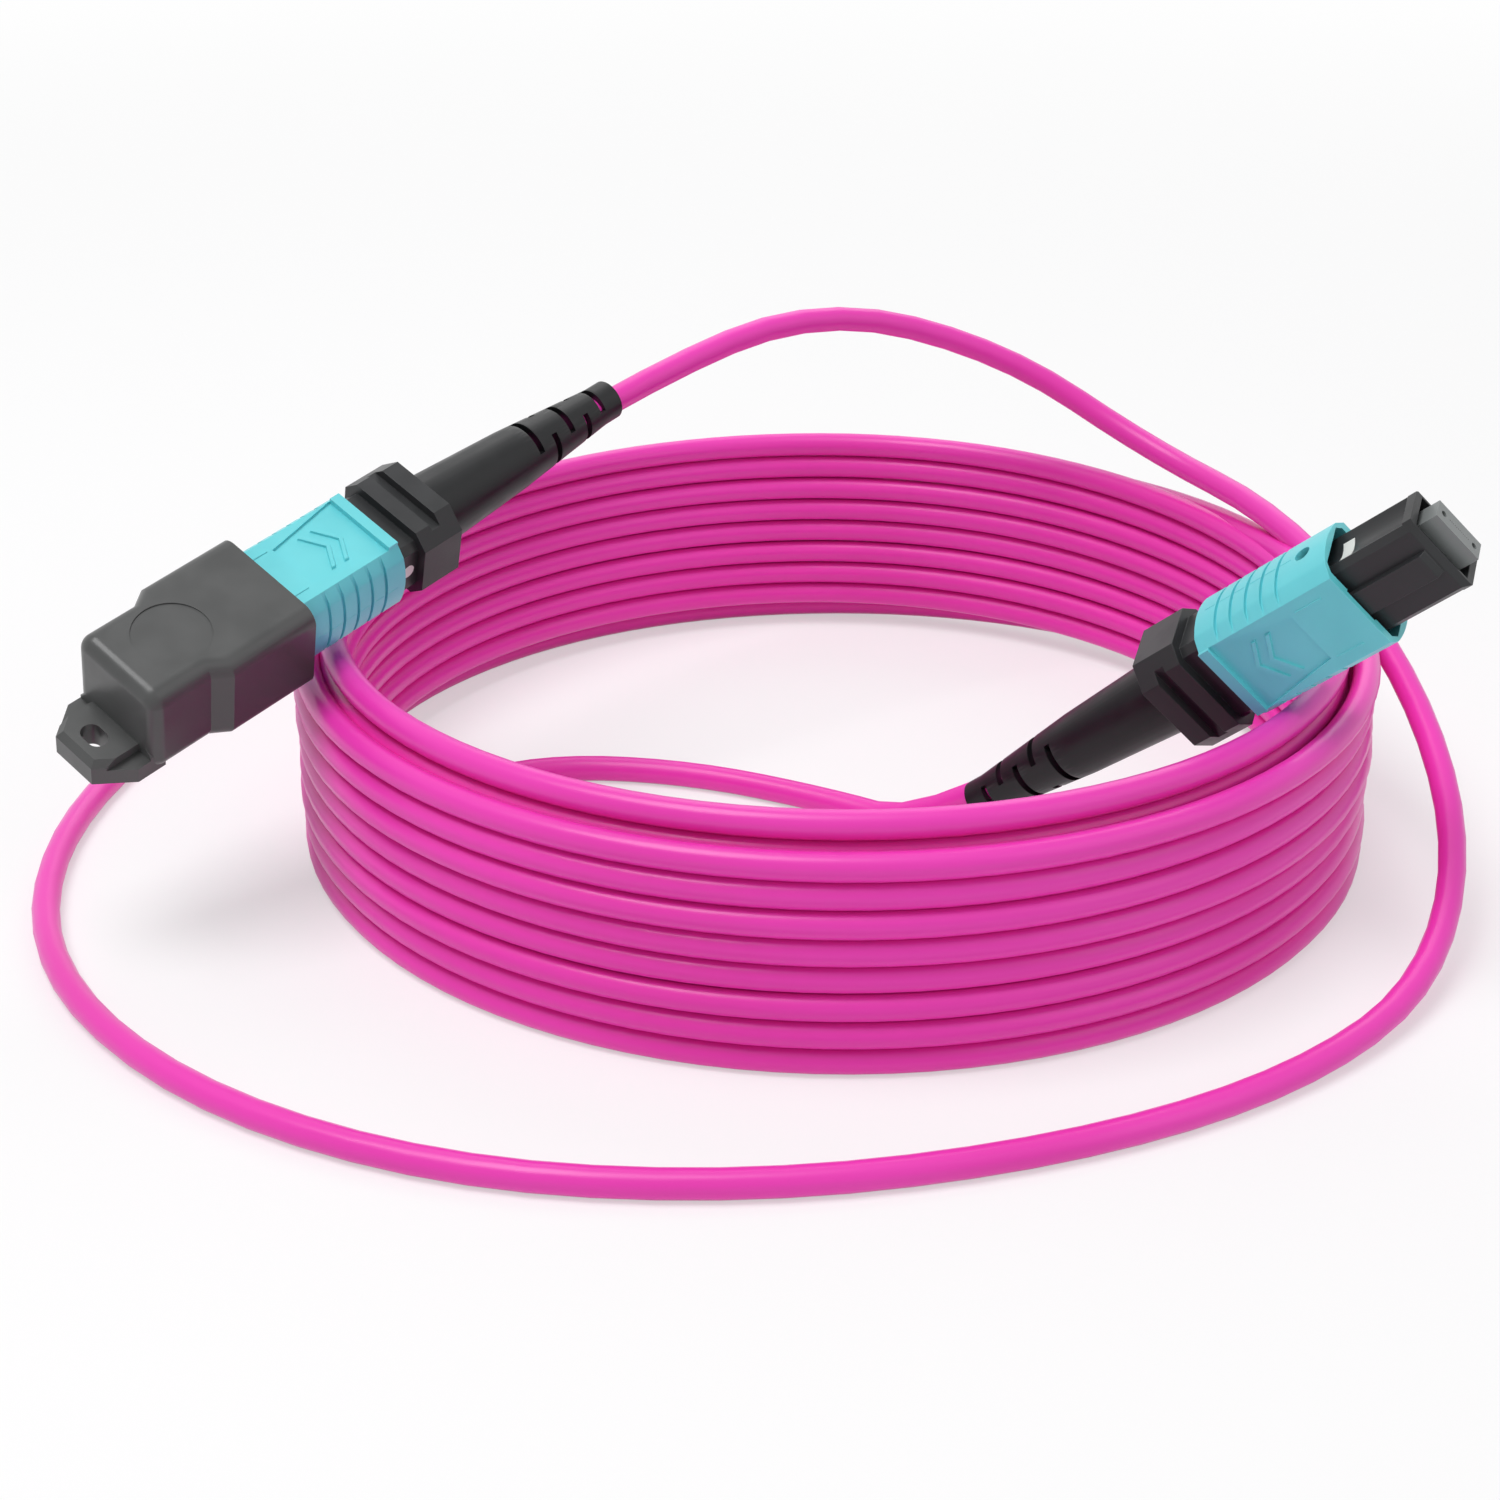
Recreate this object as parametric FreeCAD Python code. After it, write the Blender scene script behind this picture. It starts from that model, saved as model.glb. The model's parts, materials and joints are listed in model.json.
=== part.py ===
import FreeCAD, Part
import math
import os

# Multi-fibre patch cable: a coiled round cable with a push-pull plug on each end.
# Millimetres, +Z up, origin on the floor at the centre of the coil.
# Each plug is modelled along its own X axis, from the boot tip (x = 0) to the nose,
# with its wide faces square to its Z axis and its key on the +Z face.

# Cable and coil
CABLE_D = 3.0
CABLE_SIDES = 8
TURN_PITCH = 3.03
INNER_TURNS = 9
OUTER_TURNS = 8
INNER_LAYER_R = 56.8
LAYER_STEP = 3.1
COIL_SKIN = 0.1

# Lengths along the plug
BOOT_LENGTH = 30.0
FLANGE_LENGTH = 5.5
SLEEVE_LENGTH = 17.0
NOSE_REACH = 9.5
FERRULE_REACH = 1.7

# Strain relief boot
BOOT_TIP_D = 4.7
BOOT_MID_D = 7.2
BOOT_ROOT_D = 8.7
BOOT_MID_X = 16.0
BOOT_TIP_RING = 2.2
BOOT_BORE_CLEARANCE = 0.1
BOOT_SLOT_ROWS = 5
BOOT_SLOT_PITCH = 2.7
BOOT_SLOT_WIDTH = 0.8
BOOT_SLOT_ANGLE = 112.0

# Rear body and crimp
POST_LENGTH = 9.0
POST_D = 4.2
POST_BORE_D = 2.4
CRIMP_LENGTH = 7.0
CRIMP_WALL = 0.6
CRIMP_CLEARANCE = 0.05
CRIMP_ROOM = 0.25
FLANGE_MARGIN = 0.1
FLANGE_HEIGHT = 10.6
FLANGE_CHAMFER = 2.3
FLANGE_PLATE = 2.3
FLANGE_SLOT = 1.2
FLANGE_SLOT_DEPTH = 1.1
NECK_WALL = 0.5
NECK_HEIGHT = 7.0
SEAT_DEPTH = 6.4
DOT_D = 1.7
DOT_DEPTH = 0.25

# Coupling sleeve
SLEEVE_SIDE_GAP = 0.7
SLEEVE_WALL = 0.8
SLEEVE_HEIGHT = 9.4
SLEEVE_FLAT_INSET = 1.6
SLEEVE_SHOULDER_INSET = 0.6
SLEEVE_SHOULDER_Z = 3.5
SLEEVE_BORE_HEIGHT = 7.4
SLEEVE_TRAVEL = 2.0
SLEEVE_BACK_CLEARANCE = 0.6
LIP_LENGTH = 1.3
LIP_HEIGHT = 0.4
PANEL_LENGTH = 9.5
PANEL_DEPTH = 0.3
PANEL_TAPER = 1.6
GRIP_GROOVES = 5
GRIP_PITCH = 2.0
GRIP_DEPTH = 0.35
GRIP_WIDTH = 0.4
GRIP_START = 2.6
SIDE_HOLE_D = 1.8
SIDE_HOLE_SETBACK = 3.1
SPRING_RIB_LENGTH = 1.2
SPRING_RIB_HEIGHT = 3.0
SPRING_RIB_DEPTH = 1.2
SPRING_RIB_X = 10.3

# Inner housing
HOUSING_WIDTH = 9.6
HOUSING_HEIGHT = 6.2
HOUSING_CHAMFER = 0.8
HOUSING_SETIN = 0.9
HOUSING_LIP = 1.1
HOUSING_FRONT_CHAMFER = 0.6
STOP_GAP = 0.3
STOP_WALL = 1.1
POCKET_DEPTH = 0.75
POCKET_HEIGHT = 3.2
RECESS_DEPTH = 0.8
RECESS_HALF_HEIGHT = 2.6
KEY_WIDTH = 3.0
KEY_HEIGHT = 0.7
KEY_SETBACK = 0.8
KEY_LENGTH = 18.2
KEY_RAMP = 0.55
KEY_RAMP_MOST = 0.9
KEY_GROOVE_WIDTH = 4.4
KEY_GROOVE_CLEARANCE = 0.2
MOUTH_SIDE_WALL = 0.9
MOUTH_POCKET_HEIGHT = 4.4
MOUTH_POCKET_DEPTH = 2.6
MARK_LENGTH = 1.4
MARK_HEIGHT = 2.8
MARK_DEPTH = 0.2

# Ferrule, with two guide-pin holes
FERRULE_HEIGHT = 2.5
FERRULE_LENGTH = 8.0
FERRULE_CLEARANCE = 0.15
FERRULE_FLANGE_LENGTH = 2.0
FERRULE_FLANGE_STEP = 0.35
FERRULE_SIDE_ROOM = 1.25
FERRULE_FLANGE_HEIGHT = 3.0
FERRULE_TRAVEL = 1.0
GUIDE_EDGE = 0.9
GUIDE_D = 0.70
WINDOW_WIDTH = 3.5
WINDOW_HEIGHT = 1.4
WINDOW_DEPTH = 3.0
RIBBON_WIDTH = 3.1
RIBBON_HEIGHT = 0.3
BUNDLE_D = 1.2
CLAMP_LENGTH = 1.6
SHOULDER_GAP = 0.05

# Springs
FERRULE_SPRING_WIRE = 0.45
FERRULE_SPRING_TURNS = 5
SLEEVE_SPRING_WIRE = 0.25
SLEEVE_SPRING_D = 1.15
SLEEVE_SPRING_TURNS = 6
SPRING_SEAT_GAP = 0.05
FERRULE_SPRING_POINTS = 12
SLEEVE_SPRING_POINTS = 8

# Dust cap
CAP_OVERLAP = 3.0
CAP_CLEARANCE = 0.25
CAP_WALL = 0.85
CAP_SKIRT_LENGTH = 11.0
CAP_RAMP = 2.0
CAP_BODY_LENGTH = 20.5
CAP_SIDE_STEP = 1.3
CAP_CORNER_R = 1.9
CAP_FRONT_ROUND = 0.8
CAP_THUMB_D = 8.4
CAP_THUMB_DEPTH = 0.14
TONGUE_LENGTH = 5.4
TONGUE_THICKNESS = 3.2
TONGUE_WAIST = 0.3
TONGUE_INSET = 0.5
TONGUE_TIP_WIDTH = 5.6
TONGUE_CHAMFER = 0.7
WING_WIDTH = 1.9
WING_DROP = 1.1
EYELET_LENGTH = 3.2
EYELET_WIDTH = 2.2

# Where each plug lies: boot tip, heading, climb of the nose, roll about its own axis
CAPPED_TIP = (-26.2, 17.4, 44.3)
CAPPED_YAW = 227.0
CAPPED_CLIMB = -13.0
CAPPED_ROLL = -24.0
OPEN_TIP = (16.4, -13.0, 6.8)
OPEN_YAW = -33.0
OPEN_CLIMB = 40.0
OPEN_ROLL = 112.0

# Cable route outside the boots; the first two points of each tail lie on its plug's axis
CABLE_INSERTION = 20.5
ARC_SHARE = 0.45
CAPPED_LEAD = 5.0
OPEN_LEAD = 8.2
CAPPED_ROUTE = (
    (-1.0, 37.6, 50.2),
    (23.0, 46.6, 41.6),
    (41.6, 39.6, 30.6),
    (55.0, 20.0, 28.6),
    (65.0, -3.0, 20.0),
    (67.5, -26.0, 9.5),
    (60.0, -47.0, 2.4),
    (43.0, -64.0, 1.5),
    (19.0, -76.0, 1.5),
    (-10.0, -82.0, 1.5),
    (-39.0, -79.0, 1.5),
    (-65.0, -65.0, 1.5),
    (-83.0, -42.0, 1.5),
    (-89.0, -14.0, 1.5),
    (-84.0, 15.0, 1.5),
    (-69.0, 40.0, 1.5),
    (-47.0, 58.0, 1.5),
    (-20.0, 67.0, 1.5),
    (8.0, 67.5, 1.5),
    (33.0, 57.5, 1.5),
    (51.5, 38.0, 1.5),
    (60.0, 15.0, 1.5),
)
OPEN_ROUTE = (
    (-0.6, -2.0, 1.5),
    (-16.0, 5.2, 1.5),
    (-32.4, 7.4, 1.5),
    (-44.2, 2.0, 1.5),
    (-50.2, -8.2, 1.5),
    (-52.0, -20.0, 1.5),
)

# Stations along the plug, from the lengths above
FLANGE_X = BOOT_LENGTH
NECK_X = FLANGE_X + FLANGE_LENGTH
SLEEVE_X = NECK_X + SLEEVE_TRAVEL + SLEEVE_BACK_CLEARANCE
MOUTH_X = SLEEVE_X + SLEEVE_LENGTH
NOSE_X = MOUTH_X + NOSE_REACH
TIP_X = NOSE_X + FERRULE_REACH
FERRULE_X = TIP_X - FERRULE_LENGTH
HOUSING_X = SLEEVE_X + HOUSING_SETIN
SEAT_X = HOUSING_X + SEAT_DEPTH
CLAMP_X = FERRULE_X - CLAMP_LENGTH
SHOULDER_X = FERRULE_X + FERRULE_FLANGE_LENGTH + SHOULDER_GAP
RIB_X = SLEEVE_X + SPRING_RIB_X
STOP_X = RIB_X + SPRING_RIB_LENGTH + STOP_GAP
RECESS_X = STOP_X + STOP_WALL
POST_X = FLANGE_X - POST_LENGTH

# Widths across the plug, all from the housing's
NECK_WIDTH = HOUSING_WIDTH + 2 * NECK_WALL
SLEEVE_BORE_WIDTH = HOUSING_WIDTH + 2 * SLEEVE_SIDE_GAP
SLEEVE_WIDTH = SLEEVE_BORE_WIDTH + 2 * SLEEVE_WALL
SLEEVE_FLAT = SLEEVE_WIDTH - 2 * SLEEVE_FLAT_INSET
SLEEVE_SHOULDER_Y = SLEEVE_WIDTH / 2 - SLEEVE_SHOULDER_INSET
FLANGE_WIDTH = SLEEVE_WIDTH + 2 * FLANGE_MARGIN
MOUTH_POCKET_WIDTH = HOUSING_WIDTH - 2 * MOUTH_SIDE_WALL
FERRULE_FLANGE_WIDTH = HOUSING_WIDTH - 2 * FERRULE_SIDE_ROOM
FERRULE_WIDTH = FERRULE_FLANGE_WIDTH - 2 * FERRULE_FLANGE_STEP
GUIDE_PITCH = FERRULE_WIDTH - 2 * GUIDE_EDGE
CAP_WIDTH = SLEEVE_WIDTH + 2 * (CAP_CLEARANCE + CAP_WALL)
CAP_HEIGHT = SLEEVE_HEIGHT + 2 * (CAP_CLEARANCE + CAP_WALL)
CAP_FRONT_WIDTH = CAP_WIDTH - 2 * CAP_SIDE_STEP
TONGUE_ROOT_WIDTH = CAP_FRONT_WIDTH - 2 * TONGUE_INSET
CAVITY_WIDTH = FERRULE_FLANGE_WIDTH + 2 * FERRULE_CLEARANCE
CAVITY_HEIGHT = FERRULE_FLANGE_HEIGHT + 2 * FERRULE_CLEARANCE


def box(x0, x1, width, height, y=0.0, z=0.0):
    """A block along the plug's axis, centred at y and z."""
    corner = FreeCAD.Vector(x0, y - width / 2, z - height / 2)
    return Part.makeBox(x1 - x0, width, height, corner)


def rod(x0, x1, diameter, y=0.0, z=0.0):
    """A round bar along the plug's axis."""
    start = FreeCAD.Vector(x0, y, z)
    return Part.makeCylinder(diameter / 2, x1 - x0, start, FreeCAD.Vector(1, 0, 0))


def prism(x0, x1, outline):
    """A section in the plug's YZ plane, given as corner pairs, drawn out along X."""
    corners = [FreeCAD.Vector(x0, y, z) for y, z in outline]
    face = Part.Face(Part.makePolygon(corners + corners[:1]))
    return face.extrude(FreeCAD.Vector(x1 - x0, 0, 0))


def chamfered_block(x0, x1, width, height, chamfer):
    """A block along X whose four long edges are chamfered."""
    half_w = width / 2
    half_h = height / 2
    quarter = [(half_w, half_h - chamfer), (half_w - chamfer, half_h)]
    outline = quarter + [(-y, z) for y, z in reversed(quarter)]
    outline += [(-y, -z) for y, z in quarter] + [(y, -z) for y, z in reversed(quarter)]
    return prism(x0, x1, outline)


def barrel_block(x0, x1, width, height, flat, shoulder_y, shoulder_z):
    """A block along X with flat wide faces, slanted corners and bowed narrow sides."""
    half_w = width / 2
    half_h = height / 2
    half_f = flat / 2

    def at(y, z):
        return FreeCAD.Vector(x0, y, z)

    edges = []
    for side in (1, -1):
        bow = Part.Arc(
            at(side * shoulder_y, -side * shoulder_z),
            at(side * half_w, 0),
            at(side * shoulder_y, side * shoulder_z),
        )
        edges.append(bow.toShape())
        near = at(side * half_f, side * half_h)
        far = at(-side * half_f, side * half_h)
        edges.append(Part.makeLine(at(side * shoulder_y, side * shoulder_z), near))
        edges.append(Part.makeLine(near, far))
        edges.append(Part.makeLine(far, at(-side * shoulder_y, side * shoulder_z)))
    face = Part.Face(Part.Wire(Part.__sortEdges__(edges)))
    return face.extrude(FreeCAD.Vector(x1 - x0, 0, 0))


def strain_relief_boot():
    """Tapered boot with a stepped bore and staggered rows of through slots."""
    bore_r = CABLE_D / 2 + BOOT_BORE_CLEARANCE
    room_r = POST_D / 2 + CRIMP_CLEARANCE + CRIMP_WALL + CRIMP_ROOM
    profile = (
        (0, bore_r),
        (0, BOOT_TIP_D / 2),
        (BOOT_TIP_RING, BOOT_TIP_D / 2),
        (BOOT_MID_X, BOOT_MID_D / 2),
        (BOOT_LENGTH, BOOT_ROOT_D / 2),
        (BOOT_LENGTH, room_r),
        (POST_X - CRIMP_ROOM, room_r),
        (POST_X - CRIMP_ROOM, bore_r),
    )
    corners = [FreeCAD.Vector(x, r, 0) for x, r in profile]
    face = Part.Face(Part.makePolygon(corners + corners[:1]))
    boot = face.revolve(FreeCAD.Vector(0, 0, 0), FreeCAD.Vector(1, 0, 0), 360)
    first_row = BOOT_TIP_RING + BOOT_SLOT_WIDTH / 2
    axis = FreeCAD.Vector(1, 0, 0)
    slots = []
    for row in range(BOOT_SLOT_ROWS):
        x = first_row + row * BOOT_SLOT_PITCH
        for half in range(2):
            sector = Part.makeCylinder(
                BOOT_ROOT_D, BOOT_SLOT_WIDTH, FreeCAD.Vector(x, 0, 0), axis, BOOT_SLOT_ANGLE
            )
            turn = row * 90 + half * 180 - BOOT_SLOT_ANGLE / 2
            sector.rotate(FreeCAD.Vector(0, 0, 0), axis, turn)
            slots.append(sector)
    return boot.cut(Part.makeCompound(slots))


def crimp_ring():
    """Metal band that holds the cable's yarn on the rear post."""
    inner_d = POST_D + 2 * CRIMP_CLEARANCE
    start = POST_X + (POST_LENGTH - CRIMP_LENGTH) / 2
    return rod(start, start + CRIMP_LENGTH, inner_d + 2 * CRIMP_WALL).cut(rod(start, FLANGE_X, inner_d))


def rear_body(dotted):
    """Flange, neck, spring seat and crimp post in one moulding, with a passage for the fibres."""
    flange = chamfered_block(FLANGE_X, NECK_X, FLANGE_WIDTH, FLANGE_HEIGHT, FLANGE_CHAMFER)
    slot_x = FLANGE_X + FLANGE_PLATE
    slot_z = FLANGE_HEIGHT / 2 - FLANGE_SLOT_DEPTH / 2
    for side in (1, -1):
        flange = flange.cut(
            box(slot_x, slot_x + FLANGE_SLOT, FLANGE_WIDTH, FLANGE_SLOT_DEPTH, z=side * slot_z)
        )
    step_height = (FLANGE_HEIGHT - SLEEVE_HEIGHT) / 2
    for side in (1, -1):
        flange = flange.cut(
            box(slot_x + FLANGE_SLOT, NECK_X, FLANGE_WIDTH, step_height,
                z=side * (FLANGE_HEIGHT - step_height) / 2)
        )
    neck = chamfered_block(NECK_X, HOUSING_X, NECK_WIDTH, NECK_HEIGHT, HOUSING_CHAMFER)
    seat = box(HOUSING_X, SEAT_X, FERRULE_FLANGE_WIDTH, FERRULE_FLANGE_HEIGHT)
    body = flange.fuse([neck, seat, rod(POST_X, FLANGE_X, POST_D)])
    passage = box(FLANGE_X, SEAT_X, WINDOW_WIDTH, WINDOW_HEIGHT)
    body = body.cut(passage.fuse(rod(POST_X, FLANGE_X + POST_BORE_D, POST_BORE_D)))
    if dotted:
        body = body.cut(polarity_dot())
    return body.removeSplitter()


def polarity_dot():
    """Round mark let into the narrow side of the neck."""
    centre = FreeCAD.Vector((NECK_X + SLEEVE_X) / 2, NECK_WIDTH / 2 - DOT_DEPTH, 0)
    return Part.makeCylinder(DOT_D / 2, DOT_DEPTH, centre, FreeCAD.Vector(0, 1, 0))


def inner_housing(marked):
    """Plug nose: key bar, hollowed narrow sides, spring pockets and the ferrule's cavity."""
    housing = chamfered_block(HOUSING_X, NOSE_X, HOUSING_WIDTH, HOUSING_HEIGHT, HOUSING_CHAMFER)
    wide_front = [e for e in housing.Edges
                  if e.BoundBox.XMin > NOSE_X - 1e-6 and e.BoundBox.YLength > HOUSING_WIDTH / 2]
    housing = housing.makeChamfer(HOUSING_FRONT_CHAMFER, wide_front)
    key_front = NOSE_X - KEY_SETBACK
    half_h = HOUSING_HEIGHT / 2
    key_top = half_h + KEY_HEIGHT
    key = box(key_front - KEY_LENGTH, key_front, KEY_WIDTH, key_top, z=key_top / 2)
    top_front = [e for e in key.Edges
                 if abs(e.CenterOfMass.x - key_front) < 1e-6
                 and abs(e.CenterOfMass.z - key_top) < 1e-6]
    housing = housing.fuse(key.makeChamfer(min(KEY_RAMP, KEY_HEIGHT * KEY_RAMP_MOST), top_front))
    recess_r = (RECESS_HALF_HEIGHT ** 2 + RECESS_DEPTH ** 2) / (2 * RECESS_DEPTH)
    recess_y = HOUSING_WIDTH / 2 - RECESS_DEPTH + recess_r
    pocket_y = (HOUSING_WIDTH - POCKET_DEPTH) / 2
    for side in (1, -1):
        housing = housing.cut(rod(RECESS_X, NOSE_X - HOUSING_LIP, 2 * recess_r, y=side * recess_y))
        housing = housing.cut(box(HOUSING_X, STOP_X, POCKET_DEPTH, POCKET_HEIGHT, y=side * pocket_y))
    throat_width = FERRULE_WIDTH + 2 * FERRULE_CLEARANCE
    throat_height = FERRULE_HEIGHT + 2 * FERRULE_CLEARANCE
    housing = housing.cut(box(HOUSING_X, SHOULDER_X, CAVITY_WIDTH, CAVITY_HEIGHT))
    housing = housing.cut(box(SHOULDER_X, NOSE_X, throat_width, throat_height))
    housing = housing.cut(box(NOSE_X - MOUTH_POCKET_DEPTH, NOSE_X, MOUTH_POCKET_WIDTH, MOUTH_POCKET_HEIGHT))
    if marked:
        housing = housing.cut(position_mark())
    return housing.removeSplitter()


def position_mark():
    """Pale patch let into the hollow narrow side, just outside the sleeve's mouth."""
    floor_y = HOUSING_WIDTH / 2 - RECESS_DEPTH
    start = MOUTH_X + MARK_DEPTH
    thickness = MARK_DEPTH + RECESS_DEPTH
    patch = box(start, start + MARK_LENGTH, thickness, MARK_HEIGHT, y=floor_y - MARK_DEPTH + thickness / 2)
    recess_r = (RECESS_HALF_HEIGHT ** 2 + RECESS_DEPTH ** 2) / (2 * RECESS_DEPTH)
    return patch.cut(rod(RECESS_X, NOSE_X, 2 * recess_r, y=floor_y + recess_r))


def coupling_sleeve():
    """Push-pull sleeve: bowed sides with grip grooves, thumb panels, spring ribs and a key groove."""
    sleeve = barrel_block(
        SLEEVE_X, MOUTH_X, SLEEVE_WIDTH, SLEEVE_HEIGHT, SLEEVE_FLAT, SLEEVE_SHOULDER_Y, SLEEVE_SHOULDER_Z
    )
    half_w = SLEEVE_WIDTH / 2
    half_h = SLEEVE_HEIGHT / 2
    cutters = []
    for groove in range(GRIP_GROOVES):
        x = SLEEVE_X + GRIP_START + groove * GRIP_PITCH
        core = barrel_block(
            x, x + GRIP_WIDTH, SLEEVE_WIDTH - 2 * GRIP_DEPTH, SLEEVE_HEIGHT, SLEEVE_FLAT,
            SLEEVE_SHOULDER_Y - GRIP_DEPTH, SLEEVE_SHOULDER_Z
        )
        cutters.append(box(x, x + GRIP_WIDTH, SLEEVE_WIDTH, SLEEVE_HEIGHT).cut(core))
    for side in (1, -1):
        panel_x = SLEEVE_X + LIP_LENGTH
        half_f = SLEEVE_FLAT / 2
        floor_z = side * (half_h - PANEL_DEPTH)
        corners = [
            FreeCAD.Vector(panel_x, -half_f, floor_z),
            FreeCAD.Vector(panel_x + PANEL_LENGTH, -half_f + PANEL_TAPER, floor_z),
            FreeCAD.Vector(panel_x + PANEL_LENGTH, half_f - PANEL_TAPER, floor_z),
            FreeCAD.Vector(panel_x, half_f, floor_z),
        ]
        panel = Part.Face(Part.makePolygon(corners + corners[:1]))
        cutters.append(panel.extrude(FreeCAD.Vector(0, 0, side * PANEL_DEPTH)))
    lips = [
        box(SLEEVE_X, SLEEVE_X + LIP_LENGTH, SLEEVE_FLAT, LIP_HEIGHT, z=side * (half_h + LIP_HEIGHT / 2))
        for side in (1, -1)
    ]
    sleeve = sleeve.cut(Part.makeCompound(cutters)).fuse(lips)
    bore = chamfered_block(SLEEVE_X, MOUTH_X, SLEEVE_BORE_WIDTH, SLEEVE_BORE_HEIGHT, HOUSING_CHAMFER)
    groove_top = HOUSING_HEIGHT / 2 + KEY_HEIGHT + KEY_GROOVE_CLEARANCE
    groove_x = NOSE_X - KEY_SETBACK - KEY_LENGTH - KEY_GROOVE_CLEARANCE
    groove = box(groove_x, MOUTH_X, KEY_GROOVE_WIDTH, groove_top, z=groove_top / 2)
    hole_x = MOUTH_X - SIDE_HOLE_SETBACK
    hole = Part.makeCylinder(
        SIDE_HOLE_D / 2, SLEEVE_WIDTH, FreeCAD.Vector(hole_x, -half_w, 0), FreeCAD.Vector(0, 1, 0)
    )
    sleeve = sleeve.cut([bore, groove, hole])
    ribs = []
    for side in (1, -1):
        wall_y = SLEEVE_BORE_WIDTH / 2
        depth = SPRING_RIB_DEPTH + (half_w - wall_y) / 2
        ribs.append(box(RIB_X, RIB_X + SPRING_RIB_LENGTH, depth, SPRING_RIB_HEIGHT,
                        y=side * (wall_y - SPRING_RIB_DEPTH + depth / 2)))
    return sleeve.fuse(ribs).removeSplitter()


def ferrule():
    """Rectangular ferrule with a rear flange, a rear window and two guide-pin holes."""
    block = box(FERRULE_X, TIP_X, FERRULE_WIDTH, FERRULE_HEIGHT)
    flange = box(FERRULE_X, FERRULE_X + FERRULE_FLANGE_LENGTH, FERRULE_FLANGE_WIDTH, FERRULE_FLANGE_HEIGHT)
    holes = [rod(FERRULE_X, TIP_X, GUIDE_D, y=side * GUIDE_PITCH / 2) for side in (1, -1)]
    window = box(FERRULE_X, FERRULE_X + WINDOW_DEPTH, WINDOW_WIDTH, WINDOW_HEIGHT)
    return block.fuse(flange).cut(holes + [window]).removeSplitter()


def ribbon_slot():
    """Space that the flat ribbon takes up inside the ferrule's boot."""
    return box(CLAMP_X, FERRULE_X + WINDOW_DEPTH, RIBBON_WIDTH, RIBBON_HEIGHT)


def ferrule_boot():
    """Soft plug in the ferrule's window, round the ribbon."""
    return box(CLAMP_X, FERRULE_X + WINDOW_DEPTH, WINDOW_WIDTH, WINDOW_HEIGHT).cut(ribbon_slot())


def pin_clamp():
    """Plate behind the ferrule that the spring pushes on."""
    plate = box(CLAMP_X, FERRULE_X, FERRULE_FLANGE_WIDTH, FERRULE_FLANGE_HEIGHT)
    return plate.cut(box(CLAMP_X, FERRULE_X, WINDOW_WIDTH, WINDOW_HEIGHT))


def fibre_ribbon():
    """Fibres: a round bundle in the post, then a flat ribbon into the ferrule's boot."""
    flat = box(FLANGE_X + POST_BORE_D, FERRULE_X + WINDOW_DEPTH, RIBBON_WIDTH, RIBBON_HEIGHT)
    return flat.fuse(rod(POST_X + FERRULE_TRAVEL, FLANGE_X + POST_BORE_D + BUNDLE_D, BUNDLE_D))


def coil_spring(x0, x1, half_straight, radius, wire, turns, points, y=0.0):
    """An open spring along X; half_straight makes its turns oval instead of round."""
    steps = turns * points
    rise = (x1 - x0 - wire) / steps
    path = []
    for step in range(steps + 1):
        angle = 2 * math.pi * (step + 0.5) / points
        spread = half_straight if math.cos(angle) > 0 else -half_straight
        path.append(FreeCAD.Vector(
            x0 + wire / 2 + rise * step,
            y + spread + radius * math.cos(angle),
            radius * math.sin(angle),
        ))
    spine = Part.makePolygon(path)
    heading = path[1] - path[0]
    across = FreeCAD.Vector(1, 0, 0).cross(heading).normalize()
    over = heading.cross(across).normalize()
    signs = ((1, 1), (-1, 1), (-1, -1), (1, -1))
    corners = [path[0] + (across * a + over * b) * (wire / 2) for a, b in signs]
    section = Part.makePolygon(corners + corners[:1])
    right_corner = 1
    return spine.makePipeShell([section], True, False, right_corner)


def ferrule_spring():
    """Oval spring between the rear body's seat and the pin clamp, round the ribbon."""
    radius = (FERRULE_FLANGE_HEIGHT - FERRULE_SPRING_WIRE) / 2
    half_straight = (FERRULE_FLANGE_WIDTH - FERRULE_SPRING_WIRE) / 2 - radius
    return coil_spring(SEAT_X + SPRING_SEAT_GAP, CLAMP_X - SPRING_SEAT_GAP, half_straight, radius,
                       FERRULE_SPRING_WIRE, FERRULE_SPRING_TURNS, FERRULE_SPRING_POINTS)


def sleeve_springs():
    """The two small springs in the housing's side pockets that hold the sleeve forward."""
    pocket_floor = HOUSING_WIDTH / 2 - POCKET_DEPTH
    y = (pocket_floor + SLEEVE_BORE_WIDTH / 2) / 2
    radius = (SLEEVE_SPRING_D - SLEEVE_SPRING_WIRE) / 2
    return Part.makeCompound([
        coil_spring(HOUSING_X + SPRING_SEAT_GAP, RIB_X - SPRING_SEAT_GAP, 0.0, radius,
                    SLEEVE_SPRING_WIRE, SLEEVE_SPRING_TURNS, SLEEVE_SPRING_POINTS, y=side * y)
        for side in (1, -1)
    ])


def rounded_outline(x, width, height, radius):
    """A closed outline across the plug's axis, a rectangle with rounded corners."""
    half_w = width / 2
    half_h = height / 2
    slant = radius * (1 - math.sqrt(0.5))
    pieces = []
    for sy, sz in ((1, 1), (-1, 1), (-1, -1), (1, -1)):
        side = FreeCAD.Vector(x, sy * half_w, sz * (half_h - radius))
        middle = FreeCAD.Vector(x, sy * (half_w - slant), sz * (half_h - slant))
        cap = FreeCAD.Vector(x, sy * (half_w - radius), sz * half_h)
        first, last = (side, cap) if sy == sz else (cap, side)
        pieces.append((first, middle, last))
    edges = []
    for index, (first, middle, last) in enumerate(pieces):
        edges.append(Part.Arc(first, middle, last).toShape())
        edges.append(Part.makeLine(last, pieces[(index + 1) % len(pieces)][0]))
    return Part.Wire(edges)


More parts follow.
